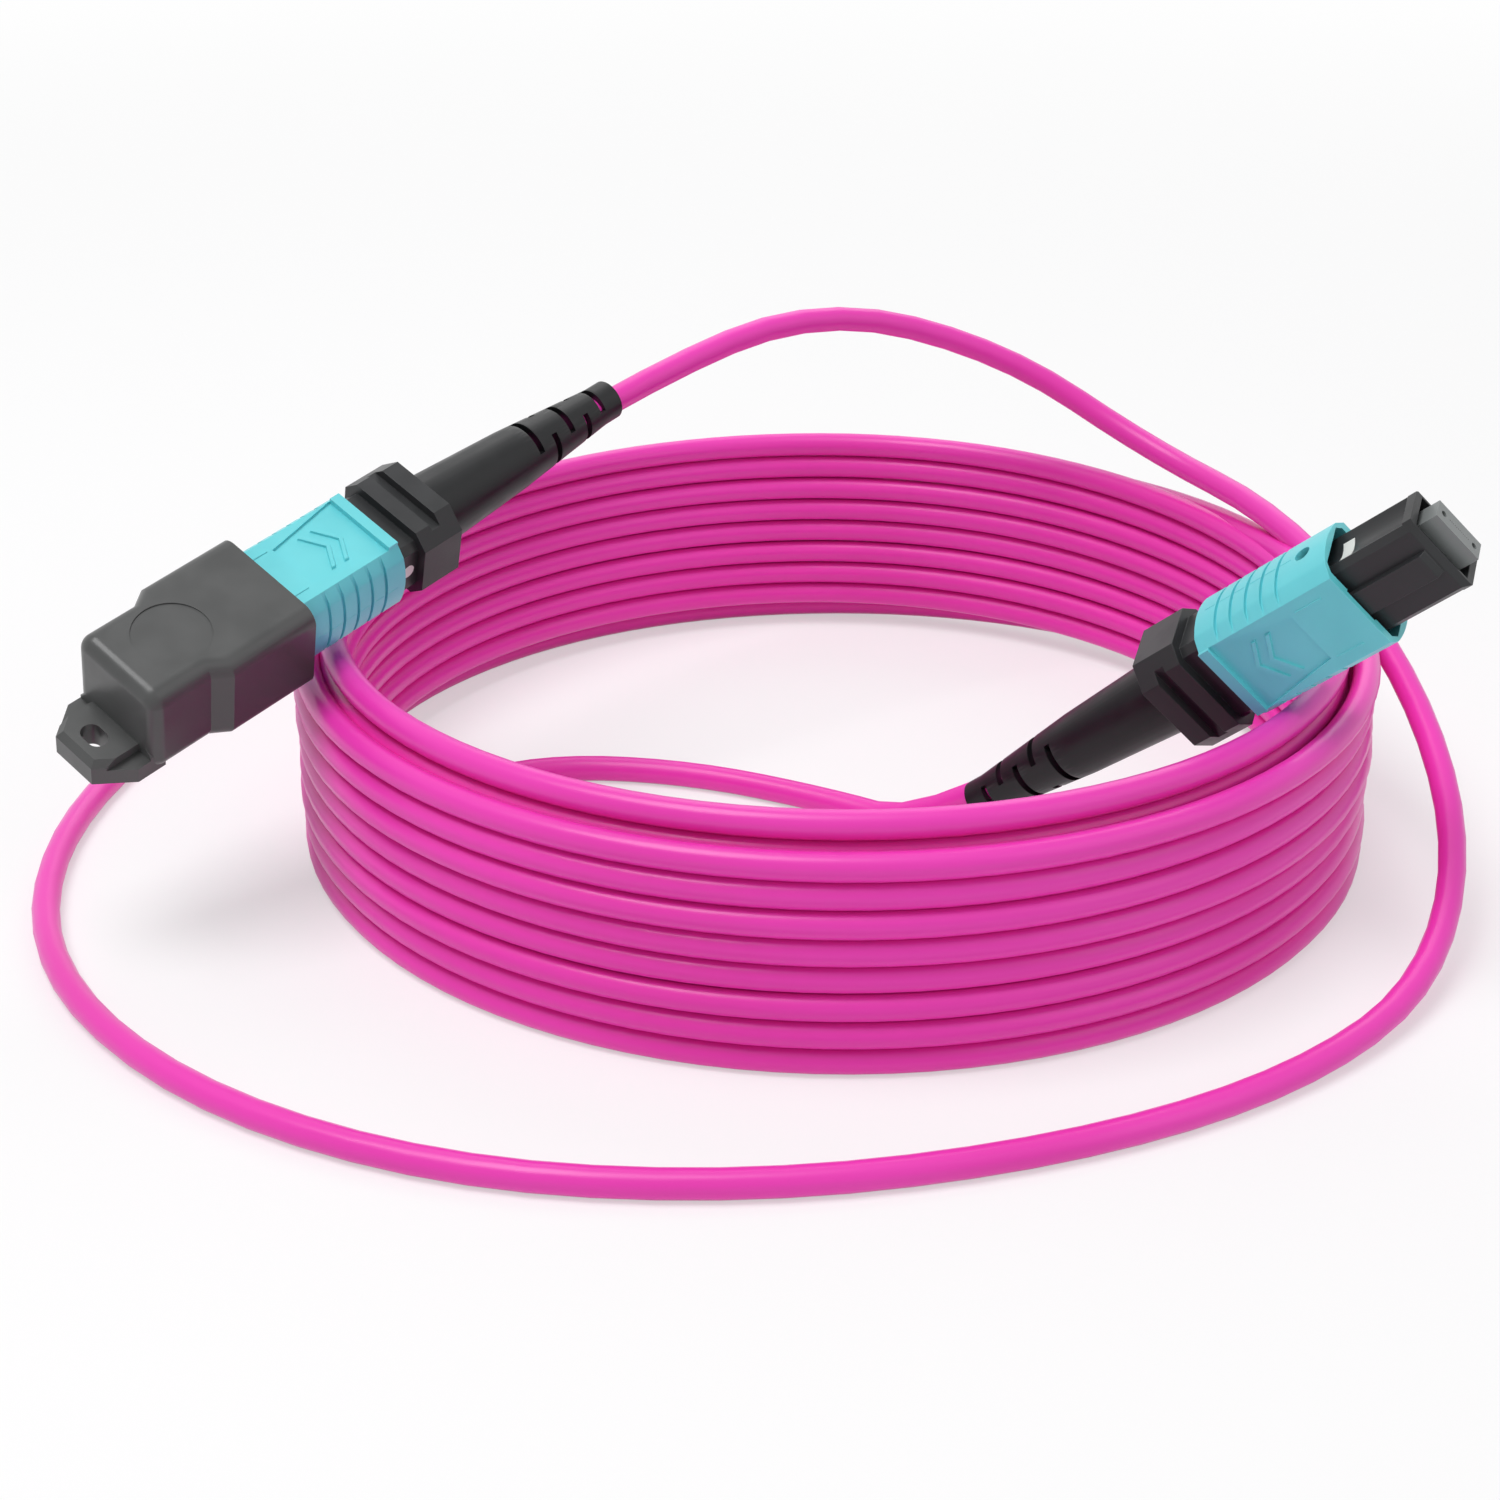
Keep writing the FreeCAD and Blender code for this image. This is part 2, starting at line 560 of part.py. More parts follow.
def cap_tongue(front):
    """The cap's low tongue: tapered, edges chamfered, a lower wing on each side and an oval eyelet."""
    root = front - CAP_CORNER_R
    tip = front + TONGUE_LENGTH
    waist = front + TONGUE_LENGTH * TONGUE_WAIST
    floor_z = -CAP_HEIGHT / 2
    half_root = TONGUE_ROOT_WIDTH / 2
    half_tip = TONGUE_TIP_WIDTH / 2
    plan = [(root, half_root), (waist, half_root), (tip, half_tip), (tip, -half_tip),
            (waist, -half_root), (root, -half_root)]
    corners = [FreeCAD.Vector(x, y, floor_z) for x, y in plan]
    plate = Part.Face(Part.makePolygon(corners + corners[:1]))
    tongue = plate.extrude(FreeCAD.Vector(0, 0, TONGUE_THICKNESS))
    rim = [e for e in tongue.Edges
           if e.BoundBox.ZMin > floor_z + TONGUE_THICKNESS - 1e-6 and e.BoundBox.XMax > front]
    tongue = tongue.makeChamfer(TONGUE_CHAMFER, rim)
    for side in (1, -1):
        inner = half_root - WING_WIDTH
        wing_y = side * (inner + half_root) / 2
        wing_z = floor_z + TONGUE_THICKNESS
        tongue = tongue.cut(box(front, tip, half_root - inner, 2 * WING_DROP, y=wing_y, z=wing_z))
    eyelet_x = front + TONGUE_LENGTH / 2
    straight = EYELET_LENGTH - EYELET_WIDTH
    eyelet = box(eyelet_x - EYELET_WIDTH / 2, eyelet_x + EYELET_WIDTH / 2, straight, CAP_HEIGHT)
    for side in (1, -1):
        end = FreeCAD.Vector(eyelet_x, side * straight / 2, floor_z)
        eyelet = eyelet.fuse(Part.makeCylinder(EYELET_WIDTH / 2, CAP_HEIGHT, end, FreeCAD.Vector(0, 0, 1)))
    return tongue.cut(eyelet)


def dust_cap():
    """Moulded cap: wide skirt over the sleeve, ramped sides, rounded edges, thumb mark and a tongue."""
    start = MOUTH_X - CAP_OVERLAP
    front = start + CAP_BODY_LENGTH
    ramp_x = start + CAP_SKIRT_LENGTH
    sections = [
        rounded_outline(start, CAP_WIDTH, CAP_HEIGHT, CAP_CORNER_R),
        rounded_outline(ramp_x, CAP_WIDTH, CAP_HEIGHT, CAP_CORNER_R),
        rounded_outline(ramp_x + CAP_RAMP, CAP_FRONT_WIDTH, CAP_HEIGHT, CAP_CORNER_R),
        rounded_outline(front, CAP_FRONT_WIDTH, CAP_HEIGHT, CAP_CORNER_R),
    ]
    body = Part.makeLoft(sections, True, True)
    front_edges = [e for e in body.Edges if abs(e.BoundBox.XMin - front) < 1e-6]
    body = body.makeFillet(CAP_CORNER_R * CAP_FRONT_ROUND, front_edges)
    thumb = Part.makeCylinder(
        CAP_THUMB_D / 2, CAP_THUMB_DEPTH,
        FreeCAD.Vector(ramp_x + CAP_RAMP, 0, CAP_HEIGHT / 2 - CAP_THUMB_DEPTH), FreeCAD.Vector(0, 0, 1)
    )
    body = body.cut(thumb).fuse(cap_tongue(front))
    skirt_room = barrel_block(
        start, MOUTH_X + CAP_CLEARANCE, SLEEVE_WIDTH + 2 * CAP_CLEARANCE, SLEEVE_HEIGHT + 2 * CAP_CLEARANCE,
        SLEEVE_FLAT + 2 * CAP_CLEARANCE, SLEEVE_SHOULDER_Y + CAP_CLEARANCE, SLEEVE_SHOULDER_Z + CAP_CLEARANCE
    )
    nose_width = HOUSING_WIDTH + 2 * CAP_CLEARANCE
    nose_height = HOUSING_HEIGHT + KEY_HEIGHT + 2 * CAP_CLEARANCE
    nose_room = box(start, TIP_X + CAP_CLEARANCE, nose_width, nose_height, z=KEY_HEIGHT / 2)
    return body.cut([skirt_room, nose_room]).removeSplitter()


def cable_coil():
    """The wound cable's outer shape: a ring with a tall inner layer and a lower outer layer."""
    radius = CABLE_D / 2 + COIL_SKIN
    inner = INNER_LAYER_R - radius
    outer = INNER_LAYER_R + LAYER_STEP + radius
    top = CABLE_D + (INNER_TURNS - 1) * TURN_PITCH
    ledge = CABLE_D + (OUTER_TURNS - 1) * TURN_PITCH
    profile = (
        (inner, 0),
        (outer, 0),
        (outer, ledge - radius),
        (outer - radius, ledge + radius / 2),
        (INNER_LAYER_R + radius / 2, top),
        (INNER_LAYER_R - radius / 2, top),
        (inner, top - radius),
    )
    corners = [FreeCAD.Vector(r, 0, z) for r, z in profile]
    face = Part.Face(Part.makePolygon(corners + corners[:1]))
    return face.revolve(FreeCAD.Vector(0, 0, 0), FreeCAD.Vector(0, 0, 1), 360)


def cable_run(name, points):
    """A cable along straight runs joined by tangent arcs as large as the runs allow."""
    edges = []
    radii = []
    start = points[0]
    for before, corner, after in zip(points, points[1:], points[2:]):
        arriving = (corner - before).normalize()
        leaving = (after - corner).normalize()
        turn = arriving.getAngle(leaving)
        setback = ARC_SHARE * min((corner - before).Length, (after - corner).Length)
        radius = setback / math.tan(turn / 2)
        arc_start = corner - arriving * setback
        arc_end = corner + leaving * setback
        inward = (leaving - arriving).normalize()
        arc_middle = corner + inward * (radius / math.cos(turn / 2) - radius)
        edges.append(Part.LineSegment(start, arc_start).toShape())
        edges.append(Part.Arc(arc_start, arc_middle, arc_end).toShape())
        radii.append(radius)
        start = arc_end
    edges.append(Part.LineSegment(start, points[-1]).toShape())
    path = Part.Wire(edges)
    heading = points[1] - points[0]
    across = heading.cross(FreeCAD.Vector(0, 0, 1)).normalize()
    over = across.cross(heading).normalize()
    angles = [2 * math.pi * (side + 0.5) / CABLE_SIDES for side in range(CABLE_SIDES)]
    corners = [
        points[0] + (across * math.sin(angle) + over * math.cos(angle)) * (CABLE_D / 2) for angle in angles
    ]
    outline = Part.makePolygon(corners + corners[:1])
    tube = path.makePipeShell([outline], True, False)
    section = Part.Face(outline).Area
    print(name, "length", round(path.Length, 1), "radii", [round(r, 1) for r in radii])
    print(name, "volume over section times length", round(tube.Volume / (section * path.Length), 4))
    return tube


def placement(tip, yaw, climb, roll):
    """Where a plug lies, from its boot tip and its three angles."""
    return FreeCAD.Placement(FreeCAD.Vector(*tip), FreeCAD.Rotation(yaw, -climb, roll))


def plug_pieces(dotted, marked):
    """The pieces that both plugs share, in the plug's own frame."""
    pieces = {
        "strain_relief_boot": strain_relief_boot(),
        "crimp_ring": crimp_ring(),
        "rear_body": rear_body(dotted),
        "inner_housing": inner_housing(marked),
        "coupling_sleeve": coupling_sleeve(),
        "sleeve_springs": sleeve_springs(),
        "ferrule": ferrule(),
        "ferrule_boot": ferrule_boot(),
        "pin_clamp": pin_clamp(),
        "ferrule_spring": ferrule_spring(),
        "fibre_ribbon": fibre_ribbon(),
    }
    if dotted:
        pieces["polarity_dot"] = polarity_dot()
    if marked:
        pieces["position_mark"] = position_mark()
    return pieces


def tail_points(where, lead, route):
    """A tail's route: two points on the plug's axis, then the points chosen by hand."""
    axis_points = [FreeCAD.Vector(CABLE_INSERTION, 0, 0), FreeCAD.Vector(-lead, 0, 0)]
    return [where.multVec(p) for p in axis_points] + [FreeCAD.Vector(*p) for p in route]


def build():
    """All nodes of the part, by name, each in its place."""
    capped = placement(CAPPED_TIP, CAPPED_YAW, CAPPED_CLIMB, CAPPED_ROLL)
    opened = placement(OPEN_TIP, OPEN_YAW, OPEN_CLIMB, OPEN_ROLL)
    capped_pieces = plug_pieces(dotted=True, marked=False)
    capped_pieces["dust_cap"] = dust_cap()
    nodes = {}
    for prefix, where, pieces in (
        ("capped", capped, capped_pieces),
        ("open", opened, plug_pieces(dotted=False, marked=True)),
    ):
        for name, shape in pieces.items():
            shape.Placement = where.multiply(shape.Placement)
            nodes[prefix + "_" + name] = shape
    nodes["dust_cap"] = nodes.pop("capped_dust_cap")
    nodes["cable_coil"] = cable_coil()
    nodes["capped_tail"] = cable_run("capped_tail", tail_points(capped, CAPPED_LEAD, CAPPED_ROUTE))
    nodes["open_tail"] = cable_run("open_tail", tail_points(opened, OPEN_LEAD, OPEN_ROUTE))
    return nodes


os.makedirs("parts", exist_ok=True)
for node, shape in build().items():
    if not shape.isValid():
        print(node, "is not a valid shape")
    shape.exportStep("parts/" + node + ".step")
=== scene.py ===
"""Dresses the multi-fibre patch cable: the coiled jacket, two push-pull plugs and the dust cap."""

import json
import logging
import math
from dataclasses import dataclass, field, replace
from enum import Enum

import bmesh
import bpy
from mathutils import Matrix, Vector

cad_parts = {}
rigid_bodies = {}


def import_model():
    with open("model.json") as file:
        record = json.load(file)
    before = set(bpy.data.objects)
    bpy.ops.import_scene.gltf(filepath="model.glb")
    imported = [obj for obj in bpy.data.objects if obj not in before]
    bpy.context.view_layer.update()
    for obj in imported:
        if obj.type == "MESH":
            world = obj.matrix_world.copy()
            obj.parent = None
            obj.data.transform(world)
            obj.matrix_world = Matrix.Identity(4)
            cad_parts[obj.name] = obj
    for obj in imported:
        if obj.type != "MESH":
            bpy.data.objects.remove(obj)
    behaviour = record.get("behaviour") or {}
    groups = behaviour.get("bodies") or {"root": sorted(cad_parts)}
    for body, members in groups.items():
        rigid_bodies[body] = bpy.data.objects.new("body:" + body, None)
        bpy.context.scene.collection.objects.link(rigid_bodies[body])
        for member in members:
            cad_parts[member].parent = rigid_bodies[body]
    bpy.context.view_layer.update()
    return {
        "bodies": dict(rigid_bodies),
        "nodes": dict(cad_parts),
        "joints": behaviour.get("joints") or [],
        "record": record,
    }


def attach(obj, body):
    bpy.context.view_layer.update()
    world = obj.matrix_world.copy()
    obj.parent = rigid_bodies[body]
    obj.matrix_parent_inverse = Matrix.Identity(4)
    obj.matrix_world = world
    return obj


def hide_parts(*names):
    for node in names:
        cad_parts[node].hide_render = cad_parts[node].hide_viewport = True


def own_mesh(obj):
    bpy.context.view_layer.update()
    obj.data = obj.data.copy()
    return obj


LOG = logging.getLogger("patch_cable")
Point = tuple[float, float, float]
Colour = tuple[float, float, float, float]
WHITE: Colour = (1.0, 1.0, 1.0, 1.0)

# Sizes are in metres and angles in degrees.
CAPPED_TIP: Point = (-0.0262, 0.0174, 0.0443)
OPEN_TIP: Point = (0.0164, -0.0130, 0.0068)

# The white round mark and the white patch on the plugs.
PRINTED = ("capped_polarity_dot", "open_position_mark")

# An eased edge is painted a little paler, partly as rubbing wears it and partly as a painted highlight along
# the edge, and is smoother than the face beside it.
EDGE_GAIN = 1.07
EDGE_LIFT = 7
EDGE_SMOOTHER = 0.82
SMOOTHEST_RUB = 0.335

# Values that all finishes share.
COAT_ROUGHNESS = 0.2
SCATTER_RADIUS = (1.0, 0.6, 0.5)
SCATTER_DEPTH = 0.0006
SHADE_UP_TO = 0.2
COLOUR_FROM = 0.75
RUB_FROM = 0.3
RUB_PAST = 0.7
RUB_SPREAD = 0.16
RELIEF_STRENGTH = 0.5
RELIEF_OCTAVES = 2.0

# Merging and easing of a moulding's edges.
SAME_POINT = 1.0e-6
EASE_SEGMENTS = 2

# Slant of the sides of a raised detail, as run for each unit of height.
CHEVRON_SLANT = 0.4
BAR_SLANT = 0.6


def linear(red: int, green: int, blue: int) -> Colour:
    """Turns a display colour into the linear colour that a shader takes.

    Args:
        red: red from 0 to 255.
        green: green from 0 to 255.
        blue: blue from 0 to 255.

    Returns:
        The linear colour with full alpha.
    """
    parts = []
    for channel in (red, green, blue):
        share = channel / 255.0
        parts.append(share / 12.92 if share <= 0.04045 else ((share + 0.055) / 1.055) ** 2.4)
    return (parts[0], parts[1], parts[2], 1.0)


def set_inputs(node: bpy.types.Node, values: dict[str, object]) -> None:
    """Sets some inputs of a node, by their names."""
    for label, value in values.items():
        node.inputs[label].default_value = value


class Side(Enum):
    """Which end of the cable a plug is on."""

    CAPPED = "capped"
    OPEN = "open"


@dataclass(frozen=True)
class Texture:
    """How fine the three noises of a surface are.

    Attributes:
        relief: cells of the grain for each metre.
        mottle: cells of the uneven colour for each metre.
        rub: cells of the uneven gloss for each metre.
        octaves: octaves of the colour and the gloss.
    """

    relief: float
    mottle: float = 130.0
    rub: float = 260.0
    octaves: float = 3.0


class Grain(Enum):
    """The fine surface that a mould or a die leaves on a piece."""

    SATIN = Texture(900.0)
    SPARK = Texture(2600.0)
    POLISHED = Texture(350.0)
    EXTRUDED = Texture(160.0, mottle=40.0, rub=60.0, octaves=0.0)


@dataclass(frozen=True)
class Finish:
    """One finish of the cable's pieces, made as a procedural material.

    Attributes:
        name: material name.
        slot: the record's material slot that it belongs to.
        colour: display colour, each channel from 0 to 255.
        shade: display colour of the darker patches of its mottling.
        roughness: roughness in the middle of its range.
        grain: the fine surface of the piece.
        metallic: 1 for bare metal.
        specular: specular level of the shader.
        coat: weight of a clear gloss on top.
        scatter: weight of light that spreads under the surface.
        depth: depth of the grain in metres.
    """

    name: str
    slot: str
    colour: tuple[int, int, int]
    shade: tuple[int, int, int]
    roughness: float
    grain: Grain = Grain.SATIN
    metallic: float = 0.0
    specular: float = 0.5
    coat: float = 0.0
    scatter: float = 0.0
    depth: float = 0.00001

    def worn_and_highlit(self) -> "Finish":
        """Makes the finish of an eased edge: a little paler, as wear and as a painted highlight along the
        edge, and, down to a limit, smoother.

        Returns:
            The finish of the eased edges.
        """
        pale = tuple(min(255, int(channel * EDGE_GAIN + EDGE_LIFT)) for channel in self.colour)
        smooth = min(self.roughness, max(SMOOTHEST_RUB, self.roughness * EDGE_SMOOTHER))
        return replace(self, name=self.name + "_edge", colour=pale, shade=self.colour, roughness=smooth)

    def material(self) -> bpy.types.Material:
        """Builds the material once and gives it again on later calls.

        Returns:
            The material with its node tree.
        """
        ready = bpy.data.materials.get(self.name)
        if ready is not None:
            return ready
        made = bpy.data.materials.new(self.name)
        made.use_nodes = True
        tree = made.node_tree
        shader = tree.nodes["Principled BSDF"]
        values = {
            "Metallic": self.metallic,
            "Specular IOR Level": self.specular,
            "Coat Weight": self.coat,
            "Coat Roughness": COAT_ROUGHNESS,
            "Subsurface Weight": self.scatter,
            "Subsurface Radius": SCATTER_RADIUS,
            "Subsurface Scale": SCATTER_DEPTH,
        }
        set_inputs(shader, values)
        place = tree.nodes.new("ShaderNodeTexCoord")
        texture = self.grain.value
        mottle = self._noise(tree, place, texture.mottle, texture.octaves)
        tint = tree.nodes.new("ShaderNodeValToRGB")
        tint.color_ramp.interpolation = "EASE"
        tint.color_ramp.elements[0].position = SHADE_UP_TO
        tint.color_ramp.elements[0].color = linear(*self.shade)
        tint.color_ramp.elements[1].position = COLOUR_FROM
        tint.color_ramp.elements[1].color = linear(*self.colour)
        tree.links.new(mottle.outputs["Fac"], tint.inputs["Fac"])
        tree.links.new(tint.outputs["Color"], shader.inputs["Base Color"])
        self._polish(tree, place, shader)
        self._relief(tree, place, shader)
        return made

    def _noise(
        self, tree: bpy.types.NodeTree, place: bpy.types.Node, scale: float, detail: float
    ) -> bpy.types.Node:
        """Adds a noise on Object coordinates.

        Args:
            tree: the material's node tree.
            place: its texture coordinates.
            scale: cells for each metre.
            detail: octaves.

        Returns:
            The noise node.
        """
        noise = tree.nodes.new("ShaderNodeTexNoise")
        set_inputs(noise, {"Scale": scale, "Detail": detail})
        tree.links.new(place.outputs["Object"], noise.inputs["Vector"])
        return noise

    def _polish(self, tree: bpy.types.NodeTree, place: bpy.types.Node, shader: bpy.types.Node) -> None:
        """Varies the roughness a little, as handling does.

        Args:
            tree: the material's node tree.
            place: its texture coordinates.
            shader: the surface shader.
        """
        texture = self.grain.value
        rub = self._noise(tree, place, texture.rub, texture.octaves)
        spread = tree.nodes.new("ShaderNodeMapRange")
        spread.interpolation_type = "SMOOTHSTEP"
        least = self.roughness * (1.0 - RUB_SPREAD)
        most = min(1.0, self.roughness * (1.0 + RUB_SPREAD))
        set_inputs(spread, {"From Min": RUB_FROM, "From Max": RUB_PAST, "To Min": least, "To Max": most})
        tree.links.new(rub.outputs["Fac"], spread.inputs["Value"])
        tree.links.new(spread.outputs["Result"], shader.inputs["Roughness"])

    def _relief(self, tree: bpy.types.NodeTree, place: bpy.types.Node, shader: bpy.types.Node) -> None:
        """Adds the grain of the mould as a bump.

        Args:
            tree: the material's node tree.
            place: its texture coordinates.
            shader: the surface shader.
        """
        grain = self._noise(tree, place, self.grain.value.relief, RELIEF_OCTAVES)
        bump = tree.nodes.new("ShaderNodeBump")
        set_inputs(bump, {"Strength": RELIEF_STRENGTH, "Distance": self.depth})
        tree.links.new(grain.outputs["Fac"], bump.inputs["Height"])
        tree.links.new(bump.outputs["Normal"], shader.inputs["Normal"])


JACKET = Finish(
    "magenta_jacket", "cable_jacket", (242, 62, 186), (236, 56, 178), 0.335, Grain.EXTRUDED, specular=0.4
)
BLACK = Finish("black_moulding", "black_plastic", (27, 28, 30), (22, 23, 24), 0.36, Grain.SPARK, specular=0.3)
CHARCOAL = Finish(
    "charcoal_moulding", "black_plastic", (48, 49, 51), (42, 43, 44), 0.36, Grain.SPARK, specular=0.3
)
AQUA = Finish(
    "aqua_moulding", "aqua_plastic", (110, 217, 225), (101, 208, 217), 0.38, Grain.SPARK, scatter=0.08
)
CAP_GREY = Finish("cap_moulding", "cap_plastic", (77, 78, 78), (71, 72, 72), 0.335, Grain.SATIN, specular=0.4)
RESIN = Finish(
    "ferrule_moulding", "ferrule_resin", (134, 138, 138), (124, 128, 128), 0.36, Grain.POLISHED, specular=0.4
)
STEEL = Finish(
    "spring_wire", "spring_steel", (190, 190, 186), (160, 160, 158), 0.28, Grain.POLISHED, metallic=1.0
)
CRIMP = Finish("crimp_brass", "crimp_metal", (188, 182, 170), (160, 154, 144), 0.35, metallic=1.0)
RUBBER = Finish("soft_boot", "soft_rubber", (40, 44, 52), (34, 38, 44), 0.6)
RIBBON = Finish("ribbon_coating", "fibre_coating", (120, 206, 214), (104, 190, 200), 0.4)
INK = Finish("white_print", "white_ink", (238, 238, 234), (226, 226, 222), 0.5)
GLASS = Finish("fibre_end", "fibre_coating", (34, 36, 38), (26, 28, 30), 0.2, Grain.POLISHED, coat=0.6)


def settle(obj: bpy.types.Object, finish: Finish, body: str, *nodes: str) -> bpy.types.Object:
    """Gives a finished piece its finish, body and the nodes that it stands for.

    Args:
        obj: the piece, in place.
        finish: its finish.
        body: the body that it moves with.
        *nodes: nodes of the frame that it stands for.

    Returns:
        The same piece.
    """
    obj.data.materials.clear()
    obj.data.materials.append(finish.material())
    # The second slot is the eased edges' paler finish: wear together with a painted highlight along each
    # edge.
    obj.data.materials.append(finish.worn_and_highlit().material())
    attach(obj, body)
    if nodes:
        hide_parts(*nodes)
    LOG.info("%s rides on %s", obj.name, body)
    return obj


def paint_node(frame: dict, node: str, finish: Finish) -> None:
    """Gives a node that keeps its own shape its finish.

    Args:
        frame: the loaded frame.
        node: the node.
        finish: its finish.
    """
    mesh = frame["nodes"][node].data
    mesh.materials.clear()
    mesh.materials.append(finish.material())


def new_object(name: str, shell: bmesh.types.BMesh) -> bpy.types.Object:
    """Makes a scene object of a finished shell and frees the shell.

    Args:
        name: name of the object.
        shell: its faces.

    Returns:
        The object, linked to the scene.
    """
    mesh = bpy.data.meshes.new(name)
    shell.to_mesh(mesh)
    shell.free()
    obj = bpy.data.objects.new(name, mesh)
    bpy.context.scene.collection.objects.link(obj)
    return obj


def eased_copy(
    frame: dict, node: str, name: str, width: float, crease: float = 28.0, merge: float = 2.0
) -> bpy.types.Object:
    """Copies a moulded piece and eases its edges as a mould does.

    Args:
        frame: the loaded frame.
        node: the node to copy.
        name: name of the new piece.
        width: width of the eased edge in metres.
        crease: angle in degrees past which an edge is eased.
        merge: angle in degrees under which neighbouring faces join.

    Returns:
        The new piece, linked to the scene.
    """
    source = frame["nodes"][node].data
    shell = bmesh.new()
    shell.from_mesh(source)
    bmesh.ops.remove_doubles(shell, verts=shell.verts, dist=SAME_POINT)
    bmesh.ops.dissolve_limit(
        shell,
        angle_limit=math.radians(merge),
        verts=shell.verts,
        edges=shell.edges,
        use_dissolve_boundaries=False,
    )
    obj = new_object(name, shell)
    obj.data.materials.append(None)
    obj.data.materials.append(None)
    ease = obj.modifiers.new("eased_edges", "BEVEL")
    # The eased faces take the second slot, the paler edge finish that paints a highlight along each edge as
    # well as its wear.
    ease.material = 1
    ease.width = width
    ease.segments = EASE_SEGMENTS
    ease.limit_method = "ANGLE"
    ease.angle_limit = math.radians(crease)
    ease.use_clamp_overlap = True
    return even_shading(plain_mesh(obj, crease))


def bake(obj: bpy.types.Object) -> bpy.types.Mesh:
    """Turns a piece's modifiers into its plain mesh.

    Args:
        obj: the piece with its modifiers.

    Returns:
        Its new mesh.
    """
    graph = bpy.context.evaluated_depsgraph_get()
    mesh = bpy.data.meshes.new_from_object(obj.evaluated_get(graph))
    obj.modifiers.clear()
    obj.data = mesh
    mesh.name = obj.name
    return mesh


def plain_mesh(obj: bpy.types.Object, crease: float) -> bpy.types.Object:
    """Turns a piece's modifiers into its plain mesh and smooths it.

    Args:
        obj: the piece with its modifiers.
        crease: angle in degrees past which an edge stays sharp.

    Returns:
        The same piece with a plain mesh and no modifiers.
    """
    mesh = bake(obj)
    mesh.polygons.foreach_set("use_smooth", [True] * len(mesh.polygons))
    mesh.set_sharp_from_angle(angle=math.radians(crease))
    return obj


def even_shading(obj: bpy.types.Object) -> bpy.types.Object:
    """Lets large flat faces keep their own normals, so that only the eased edges shade as round.

    Args:
        obj: the piece with a plain mesh.

    Returns:
        The same piece with its normals in its mesh.
    """
    even = obj.modifiers.new("even_shading", "WEIGHTED_NORMAL")
    even.keep_sharp = True
    bake(obj)
    return obj


def chevron(span: float, rake: float, stroke: float, height: float) -> bmesh.types.BMesh:
    """A raised chevron that points along -X, its foot on the XY plane.

    Args:
        span: from arm end to arm end.
        rake: how far the point lies ahead of the arm ends.
        stroke: breadth of an arm along X.
        height: height of the raised top.

    Returns:
        The closed shell.
    """
    half = span / 2.0
    outline = [(-rake, 0.0), (0.0, -half), (stroke, -half), (stroke - rake, 0.0), (stroke, half), (0.0, half)]
    inset = height * CHEVRON_SLANT
    shell = bmesh.new()
    rings = []
    for level, shrink in ((0.0, 0.0), (height, inset)):
        ring = []
        for x, y in outline:
            middle = stroke / 2.0 - rake * (1.0 - abs(y) / half)
            side = 1.0 if x > middle else -1.0
            ring.append(shell.verts.new((x - side * shrink, y * (1.0 - shrink / half), level)))
        rings.append(ring)
    low, high = rings
    count = len(outline)
    for index in range(count):
        after = (index + 1) % count
        shell.faces.new((low[index], low[after], high[after], high[index]))
    shell.faces.new((high[0], high[1], high[2], high[3]))
    shell.faces.new((high[0], high[3], high[4], high[5]))
    shell.faces.new((low[3], low[2], low[1], low[0]))
    shell.faces.new((low[5], low[4], low[3], low[0]))
    bmesh.ops.recalc_face_normals(shell, faces=shell.faces)
    return shell


def bar(length: float, width: float, height: float) -> bmesh.types.BMesh:
    """A low bar along X with slanted sides, its foot on the XY plane.

    Args:
        length: length along X.
        width: width along Y.
        height: height of the raised top.

    Returns:
        The closed shell.
    """
    shell = bmesh.new()
    rings = []
    for level, shrink in ((0.0, 0.0), (height, height * BAR_SLANT)):
        half_l, half_w = length / 2.0 - shrink, width / 2.0 - shrink
        signs = ((-1, -1), (1, -1), (1, 1), (-1, 1))
        rings.append([shell.verts.new((x * half_l, y * half_w, level)) for x, y in signs])
    low, high = rings
    for index in range(4):
        after = (index + 1) % 4
        shell.faces.new((low[index], low[after], high[after], high[index]))
    shell.faces.new(high)
    shell.faces.new(low[::-1])
    return shell


def new_tree(name: str, sockets: dict[str, str]) -> bpy.types.NodeTree:
    """Starts a Geometry Nodes tree with its inputs and its one output.

    Args:
        name: name of the tree.
        sockets: kind of each input, by its name.

    Returns:
        The node tree.
    """
    tree = bpy.data.node_groups.new(name, "GeometryNodeTree")
    tree.interface.new_socket("Geometry", in_out="OUTPUT", socket_type="NodeSocketGeometry")
    for label, kind in sockets.items():
        tree.interface.new_socket(label, in_out="INPUT", socket_type="NodeSocket" + kind)
    return tree


def math_node(tree: bpy.types.NodeTree, kind: str, operation: str) -> bpy.types.Node:
    """Adds a node that works out a number or a vector.

    Args:
        tree: the node tree.
        kind: "Math" or "VectorMath".
        operation: what it does.

    Returns:
        The node.
    """
    node = tree.nodes.new("ShaderNode" + kind)
    node.operation = operation
    return node


